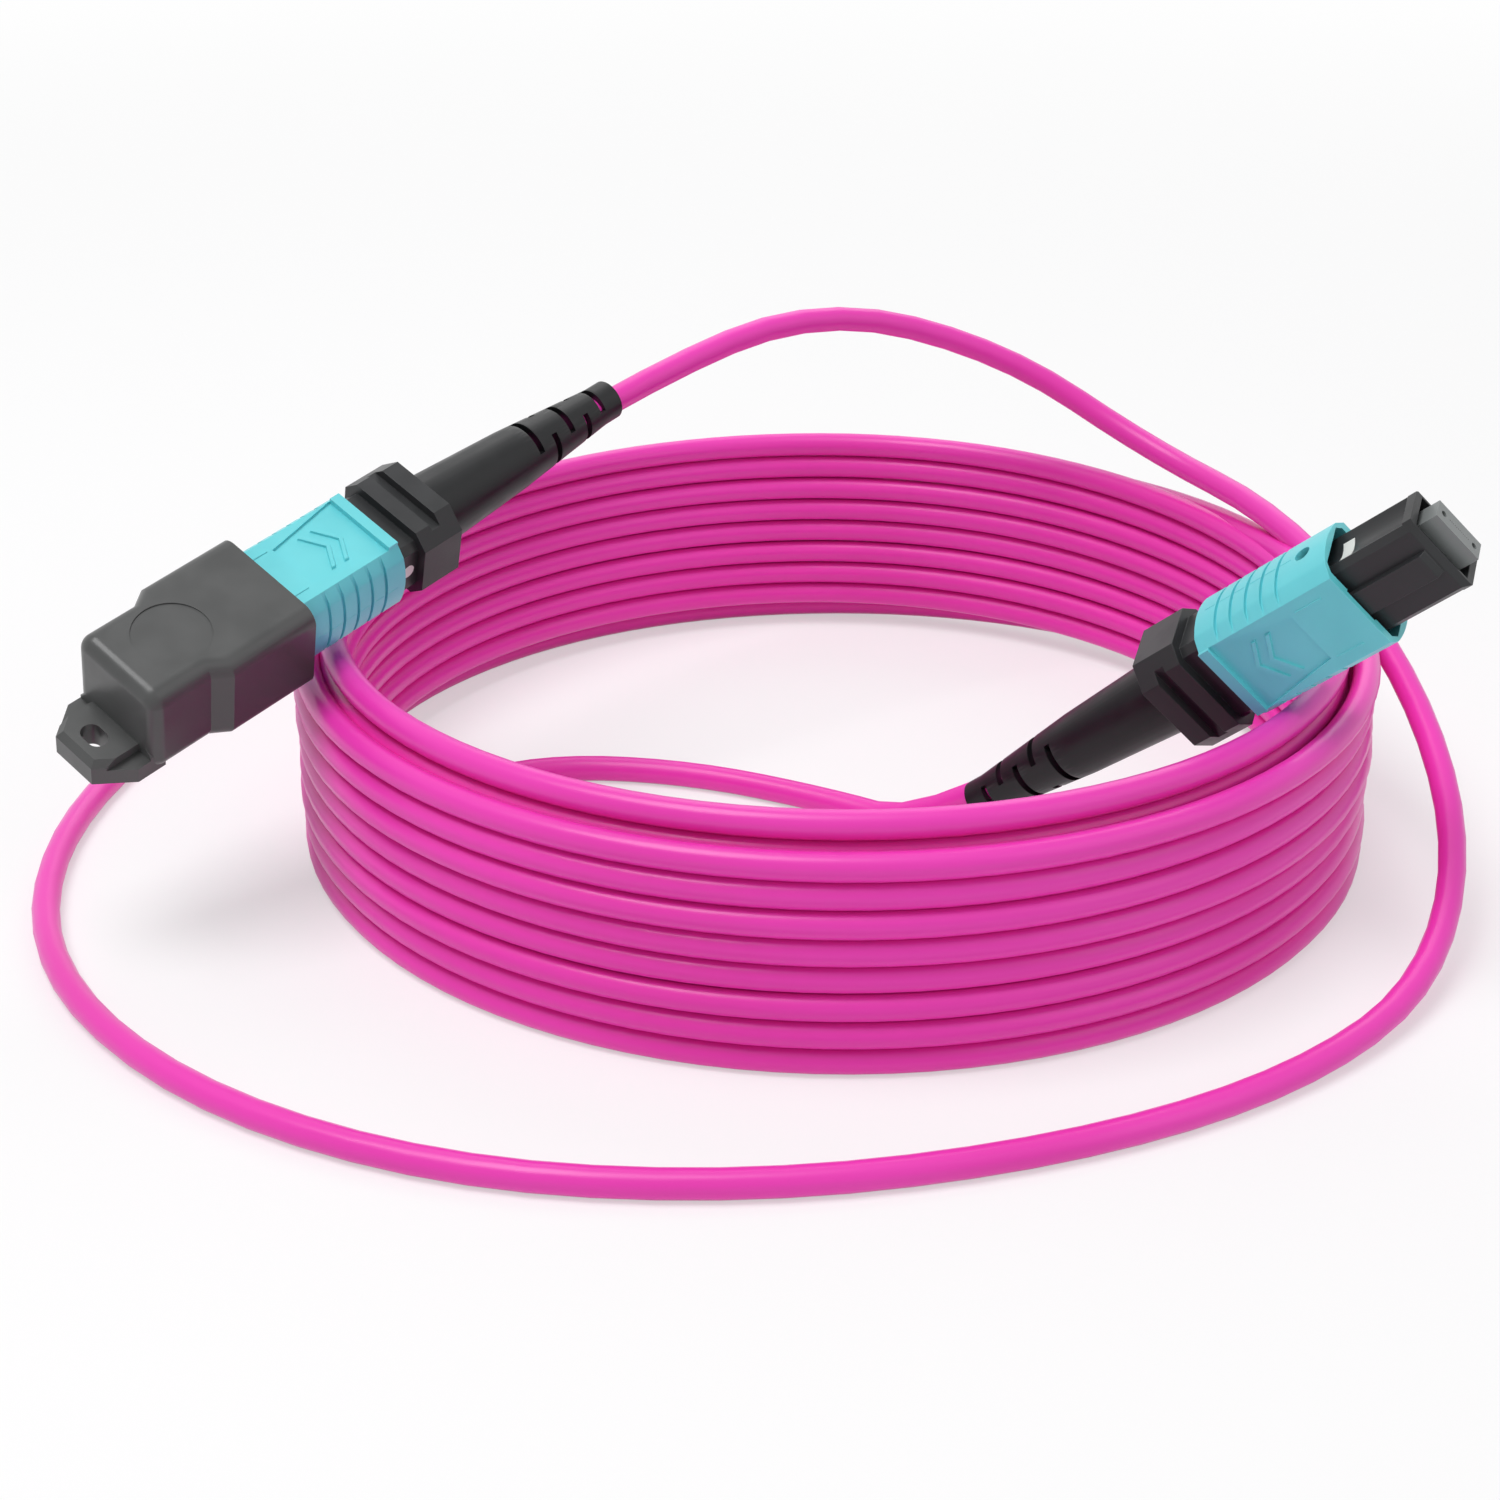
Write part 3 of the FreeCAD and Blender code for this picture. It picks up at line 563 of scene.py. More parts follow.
def set_in_line(
    tree: bpy.types.NodeTree, given: bpy.types.Node, detail: bpy.types.NodeSocket, start: bpy.types.NodeSocket
) -> None:
    """Sets a detail on a line of points, realises it, gives it its finish and ends the tree.

    Args:
        tree: the node tree.
        given: its inputs, with Count, Offset and Finish.
        detail: the detail's geometry.
        start: the first point of the line.
    """
    line = tree.nodes.new("GeometryNodeMeshLine")
    line.mode = "OFFSET"
    spread = tree.nodes.new("GeometryNodeInstanceOnPoints")
    solid = tree.nodes.new("GeometryNodeRealizeInstances")
    paint = tree.nodes.new("GeometryNodeSetMaterial")
    made = tree.nodes.new("NodeGroupOutput")
    link = tree.links.new
    link(given.outputs["Count"], line.inputs["Count"])
    link(start, line.inputs["Start Location"])
    link(given.outputs["Offset"], line.inputs["Offset"])
    link(line.outputs["Mesh"], spread.inputs["Points"])
    link(detail, spread.inputs["Instance"])
    link(spread.outputs["Instances"], solid.inputs["Geometry"])
    link(solid.outputs["Geometry"], paint.inputs["Geometry"])
    link(given.outputs["Finish"], paint.inputs["Material"])
    link(paint.outputs["Geometry"], made.inputs[0])


def grow(obj: bpy.types.Object, tree: bpy.types.NodeTree, values: dict[str, object], crease: float) -> None:
    """Runs a node tree on a piece and keeps the result as its plain mesh.

    Args:
        obj: the piece.
        tree: the node tree.
        values: values of its inputs, by their names.
        crease: angle past which an edge stays sharp.
    """
    modifier = obj.modifiers.new(tree.name, "NODES")
    modifier.node_group = tree
    for socket in tree.interface.items_tree:
        if socket.in_out == "INPUT" and socket.name in values:
            modifier[socket.identifier] = values[socket.name]
    plain_mesh(obj, crease)


@dataclass(frozen=True)
class Row:
    """Repeats a small raised or set-in detail in a straight row, with Geometry Nodes.

    Attributes:
        count: how many there are.
        offset: from one to the next, in the plug's own frame.
        crease: angle past which an edge of the detail stays sharp.
    """

    count: int
    offset: Point
    crease: float = 30.0

    def tree(self) -> bpy.types.NodeTree:
        """Builds the node tree once: a centred line of points, the detail on each, realised.

        Returns:
            The node tree.
        """
        ready = bpy.data.node_groups.get("detail_row")
        if ready is not None:
            return ready
        inputs = {"Geometry": "Geometry", "Count": "Int", "Offset": "Vector", "Finish": "Material"}
        tree = new_tree("detail_row", inputs)
        given = tree.nodes.new("NodeGroupInput")
        gaps = math_node(tree, "Math", "SUBTRACT")
        gaps.inputs[1].default_value = 1.0
        half = math_node(tree, "Math", "MULTIPLY")
        half.inputs[1].default_value = -0.5
        start = math_node(tree, "VectorMath", "SCALE")
        link = tree.links.new
        link(given.outputs["Count"], gaps.inputs[0])
        link(gaps.outputs[0], half.inputs[0])
        link(given.outputs["Offset"], start.inputs[0])
        link(half.outputs[0], start.inputs["Scale"])
        set_in_line(tree, given, given.outputs["Geometry"], start.outputs[0])
        return tree

    def build(self, name: str, shell: bmesh.types.BMesh, finish: Finish, place: Matrix) -> bpy.types.Object:
        """Makes the row as one plain mesh, in place.

        Args:
            name: name of the piece.
            shell: one detail, at the origin of the plug's own frame.
            finish: its finish.
            place: where the row's middle lies.

        Returns:
            The piece.
        """
        obj = new_object(name, shell)
        values = {"Count": self.count, "Offset": self.offset, "Finish": finish.material()}
        grow(obj, self.tree(), values, self.crease)
        obj.data.transform(place)
        return obj


@dataclass(frozen=True)
class Spring:
    """An open coil of round wire along the plug's axis, round or oval, made with Geometry Nodes.

    Attributes:
        turns: turns of the wire.
        radius: radius of the wire's middle line.
        wire: diameter of the wire.
        start: from the boot's tip to the end that stays.
        end: from the boot's tip to the end that is pushed.
        travel: how far that end is pushed.
        stretch: half of the straight sides of an oval coil.
        count: how many springs work side by side.
        gap: from the middle of one to the middle of the next.
        turn_points: points in each turn.
        wire_points: points round the wire.
        crease: angle past which an edge of the wire's ends stays sharp.
    """

    turns: float
    radius: float
    wire: float
    start: float
    end: float
    travel: float
    stretch: float = 0.0
    count: int = 1
    gap: float = 0.0
    turn_points: int = 20
    wire_points: int = 8
    crease: float = 50.0

    def tree(self) -> bpy.types.NodeTree:
        """Builds the node tree once: a spiral, drawn out to an oval, given its wire and set side by side.

        Returns:
            The node tree.
        """
        ready = bpy.data.node_groups.get("wire_spring")
        if ready is not None:
            return ready
        inputs = dict.fromkeys(("Turns", "Radius", "Length", "Wire", "Stretch"), "Float")
        inputs.update({"Count": "Int", "Start": "Vector", "Offset": "Vector", "Finish": "Material"})
        tree = new_tree("wire_spring", inputs)
        given = tree.nodes.new("NodeGroupInput")
        spiral = tree.nodes.new("GeometryNodeCurveSpiral")
        set_inputs(spiral, {"Resolution": self.turn_points})
        where = tree.nodes.new("GeometryNodeInputPosition")
        split = tree.nodes.new("ShaderNodeSeparateXYZ")
        side = math_node(tree, "Math", "SIGN")
        push = math_node(tree, "Math", "MULTIPLY")
        apart = tree.nodes.new("ShaderNodeCombineXYZ")
        oval = tree.nodes.new("GeometryNodeSetPosition")
        ring = tree.nodes.new("GeometryNodeCurvePrimitiveCircle")
        set_inputs(ring, {"Resolution": self.wire_points})
        drawn = tree.nodes.new("GeometryNodeCurveToMesh")
        set_inputs(drawn, {"Fill Caps": True})
        link = tree.links.new
        sizes = {"Rotations": "Turns", "Start Radius": "Radius", "End Radius": "Radius", "Height": "Length"}
        for label, size in sizes.items():
            link(given.outputs[size], spiral.inputs[label])
        link(where.outputs["Position"], split.inputs[0])
        link(split.outputs["Y"], side.inputs[0])
        link(side.outputs[0], push.inputs[0])
        link(given.outputs["Stretch"], push.inputs[1])
        link(push.outputs[0], apart.inputs["Y"])
        link(spiral.outputs["Curve"], oval.inputs["Geometry"])
        link(apart.outputs[0], oval.inputs["Offset"])
        link(given.outputs["Wire"], ring.inputs["Radius"])
        link(oval.outputs["Geometry"], drawn.inputs["Curve"])
        link(ring.outputs["Curve"], drawn.inputs["Profile Curve"])
        set_in_line(tree, given, drawn.outputs["Mesh"], given.outputs["Start"])
        return tree

    def build(self, name: str, node: str, joint: str, place: Matrix) -> bpy.types.Object:
        """Makes the springs in place.

        Args:
            name: name of the piece.
            node: the node that it stands for.
            joint: not used.
            place: where the plug's own frame lies.

        Returns:
            The piece.
        """
        obj = new_object(name, bmesh.new())
        values = {
            "Turns": self.turns,
            "Radius": self.radius,
            "Length": self.end - self.start - self.wire,
            "Wire": self.wire / 2.0,
            "Stretch": self.stretch,
            "Count": self.count,
            "Start": (0.0, -self.gap * (self.count - 1) / 2.0, 0.0),
            "Offset": (0.0, self.gap, 0.0),
            "Finish": STEEL.material(),
        }
        grow(obj, self.tree(), values, self.crease)
        along = Matrix.Rotation(math.radians(90.0), 4, "Y")
        obj.data.transform(place @ Matrix.Translation((self.start + self.wire / 2.0, 0.0, 0.0)) @ along)
        settle(obj, STEEL, "cable", node)
        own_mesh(obj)
        return obj


@dataclass(frozen=True)
class Lamp:
    """One soft square lamp.

    Attributes:
        name: its name.
        place: where it hangs.
        size: side of its square.
        power: its power in watts.
    """

    name: str
    place: Point
    size: float
    power: float

    def hang(self, scene: bpy.types.Scene, aim: Point) -> None:
        """Hangs the lamp so that it faces the part.

        Args:
            scene: the scene.
            aim: point that it faces.
        """
        data = bpy.data.lights.new(self.name, "AREA")
        data.shape = "SQUARE"
        data.size = self.size
        data.energy = self.power
        lamp = bpy.data.objects.new(self.name, data)
        lamp.location = self.place
        lamp.rotation_mode = "QUATERNION"
        lamp.rotation_quaternion = (Vector(aim) - Vector(self.place)).to_track_quat("-Z", "Y")
        scene.collection.objects.link(lamp)


@dataclass
class Studio:
    """Camera, floor and soft light.

    Attributes:
        aim: point that the camera looks at.
        distance: from the camera to that point.
        elevation: camera height above the floor in degrees.
        azimuth: camera turn round the part in degrees.
        lens: focal length in millimetres.
        sensor: width of the camera's sensor in millimetres.
        nearest: distance from the camera under which nothing is drawn.
        floor_size: side of the floor.
        paper: linear colour of the floor.
        paper_roughness: roughness of the floor.
        paper_specular: specular level of the floor.
        whiteness: share of plain white in the floor that the camera sees under the part.
        white_from: distance from the part's middle at which that share begins to grow.
        white_past: distance past which the floor reads as plain white.
        air: strength of the light from all round.
        lamps: the soft lamps.
    """

    aim: Point = (-0.0095, -0.0075, 0.0105)
    distance: float = 0.300
    elevation: float = 25.0
    azimuth: float = 0.0
    lens: float = 63.0
    sensor: float = 36.0
    nearest: float = 0.005
    floor_size: float = 12.0
    paper: Colour = (0.94, 0.94, 0.945, 1.0)
    paper_roughness: float = 0.9
    paper_specular: float = 0.1
    whiteness: float = 0.5
    white_from: float = 0.12
    white_past: float = 0.7
    air: float = 0.36
    lamps: tuple[Lamp, ...] = (
        Lamp("key_light", (-0.27, -0.17, 0.88), size=0.5, power=5.2),
        Lamp("fill_light", (0.6, -0.35, 0.5), size=0.6, power=0.7),
        Lamp("back_light", (0.1, 0.6, 0.6), size=0.6, power=1.3),
    )

    def build(self) -> None:
        """Builds the whole studio."""
        scene = bpy.context.scene
        scene.view_settings.view_transform = "Standard"
        self._camera(scene)
        self._floor(scene)
        self._world(scene)
        for lamp in self.lamps:
            lamp.hang(scene, self.aim)

    def _camera(self, scene: bpy.types.Scene) -> None:
        """Places the camera.

        Args:
            scene: the scene.
        """
        data = bpy.data.cameras.new("camera")
        data.sensor_width = self.sensor
        data.lens = self.lens
        data.clip_start = self.nearest
        camera = bpy.data.objects.new("camera", data)
        turn, lift = math.radians(self.azimuth), math.radians(self.elevation)
        back = Vector((math.sin(turn) * math.cos(lift), -math.cos(turn) * math.cos(lift), math.sin(lift)))
        camera.location = Vector(self.aim) + back * self.distance
        camera.rotation_mode = "QUATERNION"
        camera.rotation_quaternion = (-back).to_track_quat("-Z", "Y")
        scene.collection.objects.link(camera)
        scene.camera = camera

    def _floor(self, scene: bpy.types.Scene) -> None:
        """Lays the pale floor.

        Args:
            scene: the scene.
        """
        half = self.floor_size / 2.0
        mesh = bpy.data.meshes.new("studio_floor")
        corners = [(-half, -half, 0.0), (half, -half, 0.0), (half, half, 0.0), (-half, half, 0.0)]
        mesh.from_pydata(corners, [], [(0, 1, 2, 3)])
        floor = bpy.data.objects.new("studio_floor", mesh)
        scene.collection.objects.link(floor)
        paper = bpy.data.materials.new("pale_paper")
        paper.use_nodes = True
        shader = paper.node_tree.nodes["Principled BSDF"]
        values = {
            "Base Color": self.paper,
            "Roughness": self.paper_roughness,
            "Specular IOR Level": self.paper_specular,
        }
        set_inputs(shader, values)
        self._whiten(paper.node_tree, shader)
        mesh.materials.append(paper)

    def _whiten(self, tree: bpy.types.NodeTree, shader: bpy.types.Node) -> None:
        """Makes the paper read as white where the camera or a gloss sees it, and keeps its shadows.

        Args:
            tree: the paper's node tree.
            shader: its surface shader.
        """
        place = tree.nodes.new("ShaderNodeTexCoord")
        away = math_node(tree, "VectorMath", "LENGTH")
        fade = tree.nodes.new("ShaderNodeMapRange")
        fade.interpolation_type = "SMOOTHSTEP"
        values = {
            "From Min": self.white_from,
            "From Max": self.white_past,
            "To Min": self.whiteness,
            "To Max": 1.0,
        }
        set_inputs(fade, values)
        share = math_node(tree, "Math", "MULTIPLY")
        glow = tree.nodes.new("ShaderNodeEmission")
        set_inputs(glow, {"Color": WHITE, "Strength": 1.0})
        blend = tree.nodes.new("ShaderNodeMixShader")
        end = tree.nodes["Material Output"]
        link = tree.links.new
        link(place.outputs["Object"], away.inputs[0])
        link(away.outputs["Value"], fade.inputs["Value"])
        link(self._seen(tree, "Is Glossy Ray"), share.inputs[0])
        link(fade.outputs["Result"], share.inputs[1])
        link(share.outputs[0], blend.inputs["Fac"])
        link(shader.outputs["BSDF"], blend.inputs[1])
        link(glow.outputs["Emission"], blend.inputs[2])
        link(blend.outputs["Shader"], end.inputs["Surface"])

    def _seen(self, tree: bpy.types.NodeTree, *rays: str) -> bpy.types.NodeSocket:
        """Tells whether the camera, or a ray of another kind, looks at a surface.

        Args:
            tree: the surface's node tree.
            *rays: the other kinds of ray.

        Returns:
            A socket that is 1 for these rays and 0 for all others.
        """
        path = tree.nodes.new("ShaderNodeLightPath")
        seen = path.outputs["Is Camera Ray"]
        for ray in rays:
            most = math_node(tree, "Math", "MAXIMUM")
            tree.links.new(seen, most.inputs[0])
            tree.links.new(path.outputs[ray], most.inputs[1])
            seen = most.outputs[0]
        return seen

    def _world(self, scene: bpy.types.Scene) -> None:
        """Lights the studio from all round, and shows white where rays miss the floor.

        Args:
            scene: the scene.
        """
        world = bpy.data.worlds.new("studio_air")
        scene.world = world
        world.use_nodes = True
        tree = world.node_tree
        sky = tree.nodes["Background"]
        set_inputs(sky, {"Color": WHITE})
        level = tree.nodes.new("ShaderNodeMapRange")
        set_inputs(level, {"To Min": self.air, "To Max": 1.0})
        seen = self._seen(tree, "Is Glossy Ray", "Is Transmission Ray")
        tree.links.new(seen, level.inputs["Value"])
        tree.links.new(level.outputs["Result"], sky.inputs["Strength"])


def smooth_step(share: float) -> float:
    """Eases a share of the way, from 0 to 1, in and out."""
    return share * share * (3.0 - 2.0 * share)


@dataclass
class Cable:
    """The cable from boot to boot: a loose loop, the coil and the tail of the open plug.

    Attributes:
        diameter: diameter of the jacket.
        length: length from boot to boot.
        pitch: height of one turn on the next.
        outer_radius: middle line of the outer layer.
        inner_radius: middle line of the inner layer.
        outer_turns: turns in the outer layer.
        inner_turns: turns in the inner layer.
        points: control points in each turn.
        outer_start: angle in degrees where the loop joins the outer layer.
        step: share of a turn in which it climbs to the next level.
        crossing: share of a turn in which it climbs from the outer layer to the inner one.
        sway: how far a turn strays from its layer.
        sway_rates: slow and quick wave of that stray, in radians for each degree.
        quick_share: size of the quick wave beside the slow one.
        quick_phase: where the quick wave begins, in radians.
        order: order of the curve through the control points.
        facets: steps of the round jacket, as the curve's bevel counts them.
        spans: pieces of the curve between two control points.
        exit: tip of the capped plug's boot, where the cable comes out.
        capped_route: control points from the capped boot to the outer layer.
        open_route: control points from the open boot to the inner layer.
        open_start: angle in degrees where the inner layer meets the open tail.
    """

    diameter: float = 0.003
    length: float = 6.76
    pitch: float = 0.00303
    outer_radius: float = 0.0599
    inner_radius: float = 0.0568
    outer_turns: int = 8
    inner_turns: int = 9
    points: int = 20
    outer_start: float = -6.0
    step: float = 0.3
    crossing: float = 0.35
    sway: float = 0.00012
    sway_rates: tuple[float, float] = (0.0121, 0.0297)
    quick_share: float = 0.7
    quick_phase: float = 1.3
    order: int = 3
    facets: int = 4
    spans: int = 5
    exit: Point = CAPPED_TIP
    capped_route: list[Point] = field(
        default_factory=lambda: [
            (-0.039823, 0.002792, 0.039689),
            (-0.022877, 0.020963, 0.045425),
            (-0.0010, 0.0376, 0.0502),
            (0.0230, 0.0466, 0.0416),
            (0.0416, 0.0396, 0.0306),
            (0.0550, 0.0200, 0.0286),
            (0.0650, -0.0030, 0.0200),
            (0.0675, -0.0260, 0.0095),
            (0.0600, -0.0470, 0.0024),
            (0.0430, -0.0640, 0.0015),
            (0.0190, -0.0760, 0.0015),
            (-0.0100, -0.0820, 0.0015),
            (-0.0390, -0.0790, 0.0015),
            (-0.0650, -0.0650, 0.0015),
            (-0.0830, -0.0420, 0.0015),
            (-0.0890, -0.0140, 0.0015),
            (-0.0840, 0.0150, 0.0015),
            (-0.0690, 0.0400, 0.0015),
            (-0.0470, 0.0580, 0.0015),
            (-0.0200, 0.0670, 0.0015),
            (0.0080, 0.0675, 0.0015),
            (0.0330, 0.0575, 0.0015),
            (0.0515, 0.0380, 0.0015),
            (0.0600, 0.0150, 0.0015),
        ]
    )
    open_route: list[Point] = field(
        default_factory=lambda: [
            (0.029570, -0.021553, 0.019977),
            (0.011132, -0.009579, 0.001529),
            (-0.0006, -0.0020, 0.0015),
            (-0.0160, 0.0052, 0.0015),
            (-0.0324, 0.0074, 0.0015),
            (-0.0442, 0.0020, 0.0015),
            (-0.0502, -0.0082, 0.0015),
            (-0.0520, -0.0200, 0.0015),
        ]
    )
    open_start: float = 216.0

    def level(self, turns: float) -> float:
        """Height in turns after some turns: level for most of each turn, then a smooth climb.

        Args:
            turns: turns made so far.

        Returns:
            The level, in pitches.
        """
        whole = math.floor(turns)
        share = max(0.0, (turns - whole - (1.0 - self.step)) / self.step)
        return whole + smooth_step(share)

    def reach(self, radius: float) -> float:
        """Radius of the control points whose curve has this radius."""
        return radius / math.cos(math.pi / self.points)

    def coil_points(self) -> list[Point]:
        """Control points of both layers, outer one upwards and inner one downwards.

        Returns:
            The points in the order in which the cable is wound.
        """
        found = []
        stride = 360.0 / self.points
        ground = self.diameter / 2.0
        first = self.outer_turns - 1
        top = self.inner_turns - 1
        steps = round((self.outer_turns - self.step) * self.points)
        for index in range(steps):
            height = ground + min(self.level(index / self.points), first) * self.pitch
            found.append(self._point(self.outer_start - index * stride, self.outer_radius, height))
        angle = self.outer_start - steps * stride
        climb = round(self.crossing * self.points)
        for index in range(climb):
            ease = smooth_step((index + 1) / (climb + 1))
            radius = self.outer_radius + (self.inner_radius - self.outer_radius) * ease
            height = ground + (first + (top - first) * ease) * self.pitch
            found.append(self._point(angle - index * stride, radius, height))
        angle -= climb * stride
        last = self.open_start + 360.0 * math.floor((angle - self.open_start) / 360.0)
        rounds = (angle - last) / 360.0 + self.inner_turns - 1
        steps = round(rounds * self.points)
        for index in range(steps):
            height = ground + max(0.0, top - self.level(index / self.points)) * self.pitch
            found.append(self._point(angle - index * stride, self.inner_radius, height))
        return found

    def _point(self, angle: float, radius: float, height: float) -> Point:
        """One control point of the coil, with the small stray of a cable wound by hand.

        Args:
            angle: angle in degrees.
            radius: radius of the layer.
            height: height of the middle line.

        Returns:
            The point.
        """
        turn = math.radians(angle)
        slow = math.sin(angle * self.sway_rates[0])
        quick = math.sin(angle * self.sway_rates[1] + self.quick_phase)
        stray = self.sway * (slow + self.quick_share * quick)
        reach = self.reach(radius) + stray
        return (reach * math.cos(turn), reach * math.sin(turn), height)

    def build(self) -> bpy.types.Object:
        """Returns:
            The cable's curve.
        """
        route = self.capped_route + self.coil_points() + self.open_route[::-1]
        data = bpy.data.curves.new("cable_jacket", "CURVE")
        data.dimensions = "3D"
        data.bevel_depth = self.diameter / 2.0
        data.bevel_resolution = self.facets
        data.resolution_u = self.spans
        data.use_fill_caps = True
        line = data.splines.new("NURBS")
        line.points.add(len(route) - 1)
        for knot, place in zip(line.points, route):
            knot.co = (*place, 1.0)
        line.order_u = self.order
        line.use_endpoint_u = True
        line.use_smooth = True
        obj = bpy.data.objects.new("cable_jacket", data)
        bpy.context.scene.collection.objects.link(obj)
        settle(obj, JACKET, "cable", "cable_coil", "capped_tail", "open_tail")
        return obj


@dataclass(frozen=True)
class Raised:
    """A row of plain raised details, the same on two opposite faces of a sleeve.

    Attributes:
        name: name of the row.
        faces: name of each face and its turn about the plug's axis.
        along: from the boot's tip to the row's middle.
        out: from the plug's axis to the face.
        sink: how far the foot of a detail lies under the face.
        row: how the detail repeats.
        length: length of a bar, or span of a chevron.
        width: width of a bar, or breadth of a chevron's arm.
        height: height of the raised top.
        rake: how far a chevron's point lies ahead of its arm ends, 0 for a bar.
    """

    name: str
    faces: tuple[tuple[str, float], ...]
    along: float
    out: float
    sink: float
    row: Row
    length: float
    width: float
    height: float
    rake: float = 0.0

    def shell(self) -> bmesh.types.BMesh:
        """Makes one detail at the origin.

        Returns:
            The closed shell.
        """
        if self.rake > 0.0:
            return chevron(self.length, self.rake, self.width, self.height)
        return bar(self.length, self.width, self.height)

    def build(self, plug: str, body: str, place: Matrix) -> None:
        """Raises the row on both faces.

        Args:
            plug: which plug it is on, as its pieces' names begin.
            body: the body that it moves with.
            place: where the plug's own frame lies.
        """
        for face, turn in self.faces:
            flip = Matrix.Rotation(math.radians(turn), 4, "X")
            where = place @ flip @ Matrix.Translation((self.along, 0.0, self.out - self.sink))
            name = "_".join((plug, face, self.name))
            settle(self.row.build(name, self.shell(), AQUA, where), AQUA, body)


THUMB_FACES = (("upper", 0.0), ("lower", 180.0))
GRIP_FACES = (("left", 90.0), ("right", 270.0))

# Chevrons point the way the sleeve is pulled; the parting ridge of the mould runs along the gripped sides.
SLEEVE_DETAILS = (
    Raised(
        "chevrons", THUMB_FACES, along=0.0442, out=0.0044, sink=0.00004, row=Row(2, (0.0018, 0.0, 0.0)),
        length=0.0056, width=0.0007, height=0.0003, rake=0.0016,
    ),
    Raised(
        "bars", THUMB_FACES, along=0.0512, out=0.0047, sink=0.00003, row=Row(2, (0.0, 0.0066, 0.0)),
        length=0.0034, width=0.0003, height=0.00013,
    ),
    Raised(
        "parting", GRIP_FACES, along=0.0449, out=0.0063, sink=0.00002, row=Row(6, (0.002, 0.0, 0.0)),
        length=0.0014, width=0.00013, height=0.00006,
    ),
)

# The ferrule's one oval spring, and the pair of round ones behind the sleeve's ribs.
FERRULE_SPRING = Spring(
    turns=6.0, radius=0.001275, wire=0.00045, start=0.04545, end=0.05665, travel=0.001, stretch=0.00205
)
SLEEVE_SPRINGS = Spring(
    turns=9.0, radius=0.00045, wire=0.00024, start=0.03905, end=0.04835, travel=0.002, count=2, gap=0.00955
)


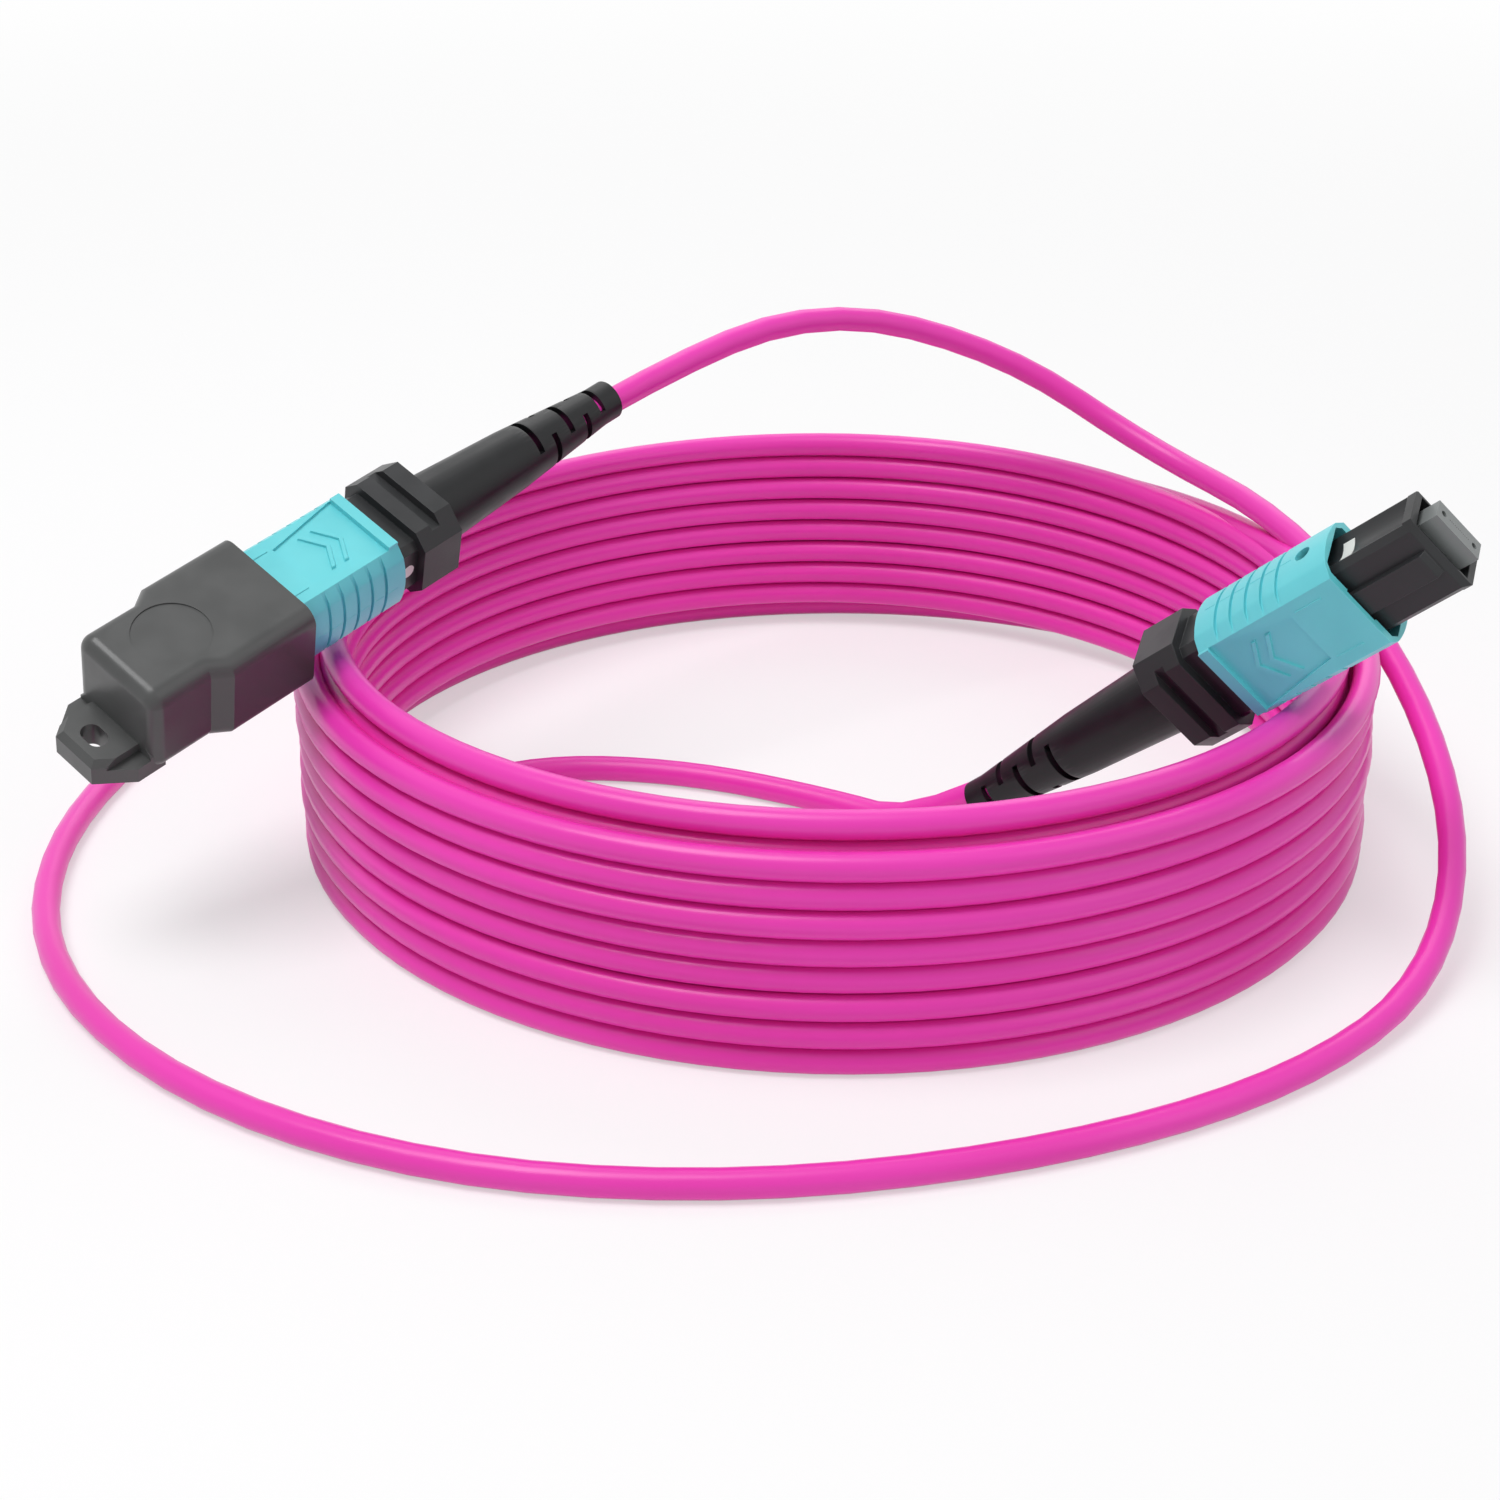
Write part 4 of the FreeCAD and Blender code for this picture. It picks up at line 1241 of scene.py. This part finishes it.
@dataclass
class Plug:
    """One push-pull plug: boot, rear body, sleeve, nose and ferrule.

    Attributes:
        side: which end of the cable it is on.
        frame: the loaded frame.
        tip: tip of its boot.
        yaw: heading of its nose in degrees.
        climb: climb of its nose in degrees.
        roll: roll about its own axis in degrees.
        ease: width of the eased edges of its rear body and sleeve.
        boot_ease: width of the eased edges of its boot.
        nose_ease: width of the eased edges of its nose.
        ferrule_ease: width of the eased edges of its ferrule.
        face_x: from the boot's tip to the ferrule's face.
        fibres: how many fibres end in the ferrule.
        fibre_pitch: from one fibre to the next.
        fibre_radius: radius of a fibre end.
        fibre_depth: length of a fibre end.
        fibre_sink: from the ferrule's face to the middle of a fibre end.
        fibre_sides: sides of a fibre end.
    """

    side: Side
    frame: dict
    tip: Point
    yaw: float
    climb: float
    roll: float
    ease: float = 0.00014
    boot_ease: float = 0.00012
    nose_ease: float = 0.0001
    ferrule_ease: float = 0.00006
    face_x: float = 0.0663
    fibres: int = 12
    fibre_pitch: float = 0.00025
    fibre_radius: float = 0.00007
    fibre_depth: float = 0.00004
    fibre_sink: float = 0.000012
    fibre_sides: int = 12

    def place(self) -> Matrix:
        """Finds where the plug's own frame lies: X along its axis, its key on +Z.

        Returns:
            The placement.
        """
        turn = Matrix.Rotation(math.radians(self.yaw), 4, "Z")
        lean = Matrix.Rotation(math.radians(-self.climb), 4, "Y")
        spin = Matrix.Rotation(math.radians(self.roll), 4, "X")
        return Matrix.Translation(self.tip) @ turn @ lean @ spin

    def node(self, piece: str) -> str:
        """Names one of this plug's pieces as the frame does."""
        return self.side.value + "_" + piece

    def build(self) -> None:
        """Dresses every piece of the plug."""
        self._moulding("strain_relief_boot", "cable", BLACK, self.boot_ease)
        self._moulding("rear_body", "cable", CHARCOAL, self.ease)
        self._moulding("inner_housing", "cable", CHARCOAL, self.nose_ease)
        self._moulding("coupling_sleeve", self.node("sleeve"), AQUA, self.ease)
        self._moulding("ferrule", self.node("ferrule_set"), RESIN, self.ferrule_ease)
        self._fibre_ends()
        for detail in SLEEVE_DETAILS:
            detail.build(self.side.value, self.node("sleeve"), self.place())
        paint_node(self.frame, self.node("crimp_ring"), CRIMP)
        self._springs()
        paint_node(self.frame, self.node("ferrule_boot"), RUBBER)
        paint_node(self.frame, self.node("pin_clamp"), STEEL)
        paint_node(self.frame, self.node("fibre_ribbon"), RIBBON)

    def _moulding(self, piece: str, body: str, finish: Finish, width: float) -> None:
        """Eases the edges of one moulded piece to a width, and gives it its finish and body."""
        node = self.node(piece)
        settle(eased_copy(self.frame, node, node + "_moulding", width), finish, body, node)

    def _fibre_ends(self) -> None:
        """Sets the row of fibre ends into the ferrule's face."""
        shell = bmesh.new()
        spin = Matrix.Rotation(math.radians(90.0), 4, "Y")
        bmesh.ops.create_cone(
            shell,
            cap_ends=True,
            segments=self.fibre_sides,
            radius1=self.fibre_radius,
            radius2=self.fibre_radius,
            depth=self.fibre_depth,
            matrix=spin,
        )
        row = Row(self.fibres, (0.0, self.fibre_pitch, 0.0))
        where = self.place() @ Matrix.Translation((self.face_x - self.fibre_sink, 0.0, 0.0))
        ends = row.build(self.node("fibre_ends"), shell, GLASS, where)
        settle(ends, GLASS, self.node("ferrule_set"))

    def _springs(self) -> None:
        """Winds the springs that push the ferrule and the sleeve forward."""
        for piece, spring, joint in (
            ("ferrule_spring", FERRULE_SPRING, "ferrule_slide"),
            ("sleeve_springs", SLEEVE_SPRINGS, "sleeve_slide"),
        ):
            spring.build(self.node(piece + "_wire"), self.node(piece), self.node(joint), self.place())


@dataclass
class DustCap:
    """The cap over the nose of the capped plug.

    Attributes:
        frame: the loaded frame.
        ease: width of its eased edges.
    """

    frame: dict
    ease: float = 0.0003

    def build(self) -> None:
        """Dresses the cap."""
        cap = eased_copy(self.frame, "dust_cap", "dust_cap_moulding", self.ease)
        settle(cap, CAP_GREY, "cap", "dust_cap")


def main() -> None:
    """Builds the studio, the cable, both plugs, the cap and the printed marks in order."""
    logging.basicConfig(level=logging.INFO, format="%(message)s")
    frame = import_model()
    Studio().build()
    Cable().build()
    Plug(Side.CAPPED, frame, CAPPED_TIP, yaw=227.0, climb=-13.0, roll=-24.0).build()
    Plug(Side.OPEN, frame, OPEN_TIP, yaw=-33.0, climb=40.0, roll=112.0).build()
    DustCap(frame).build()
    for node in PRINTED:
        paint_node(frame, node, INK)


if __name__ == "__main__":
    main()
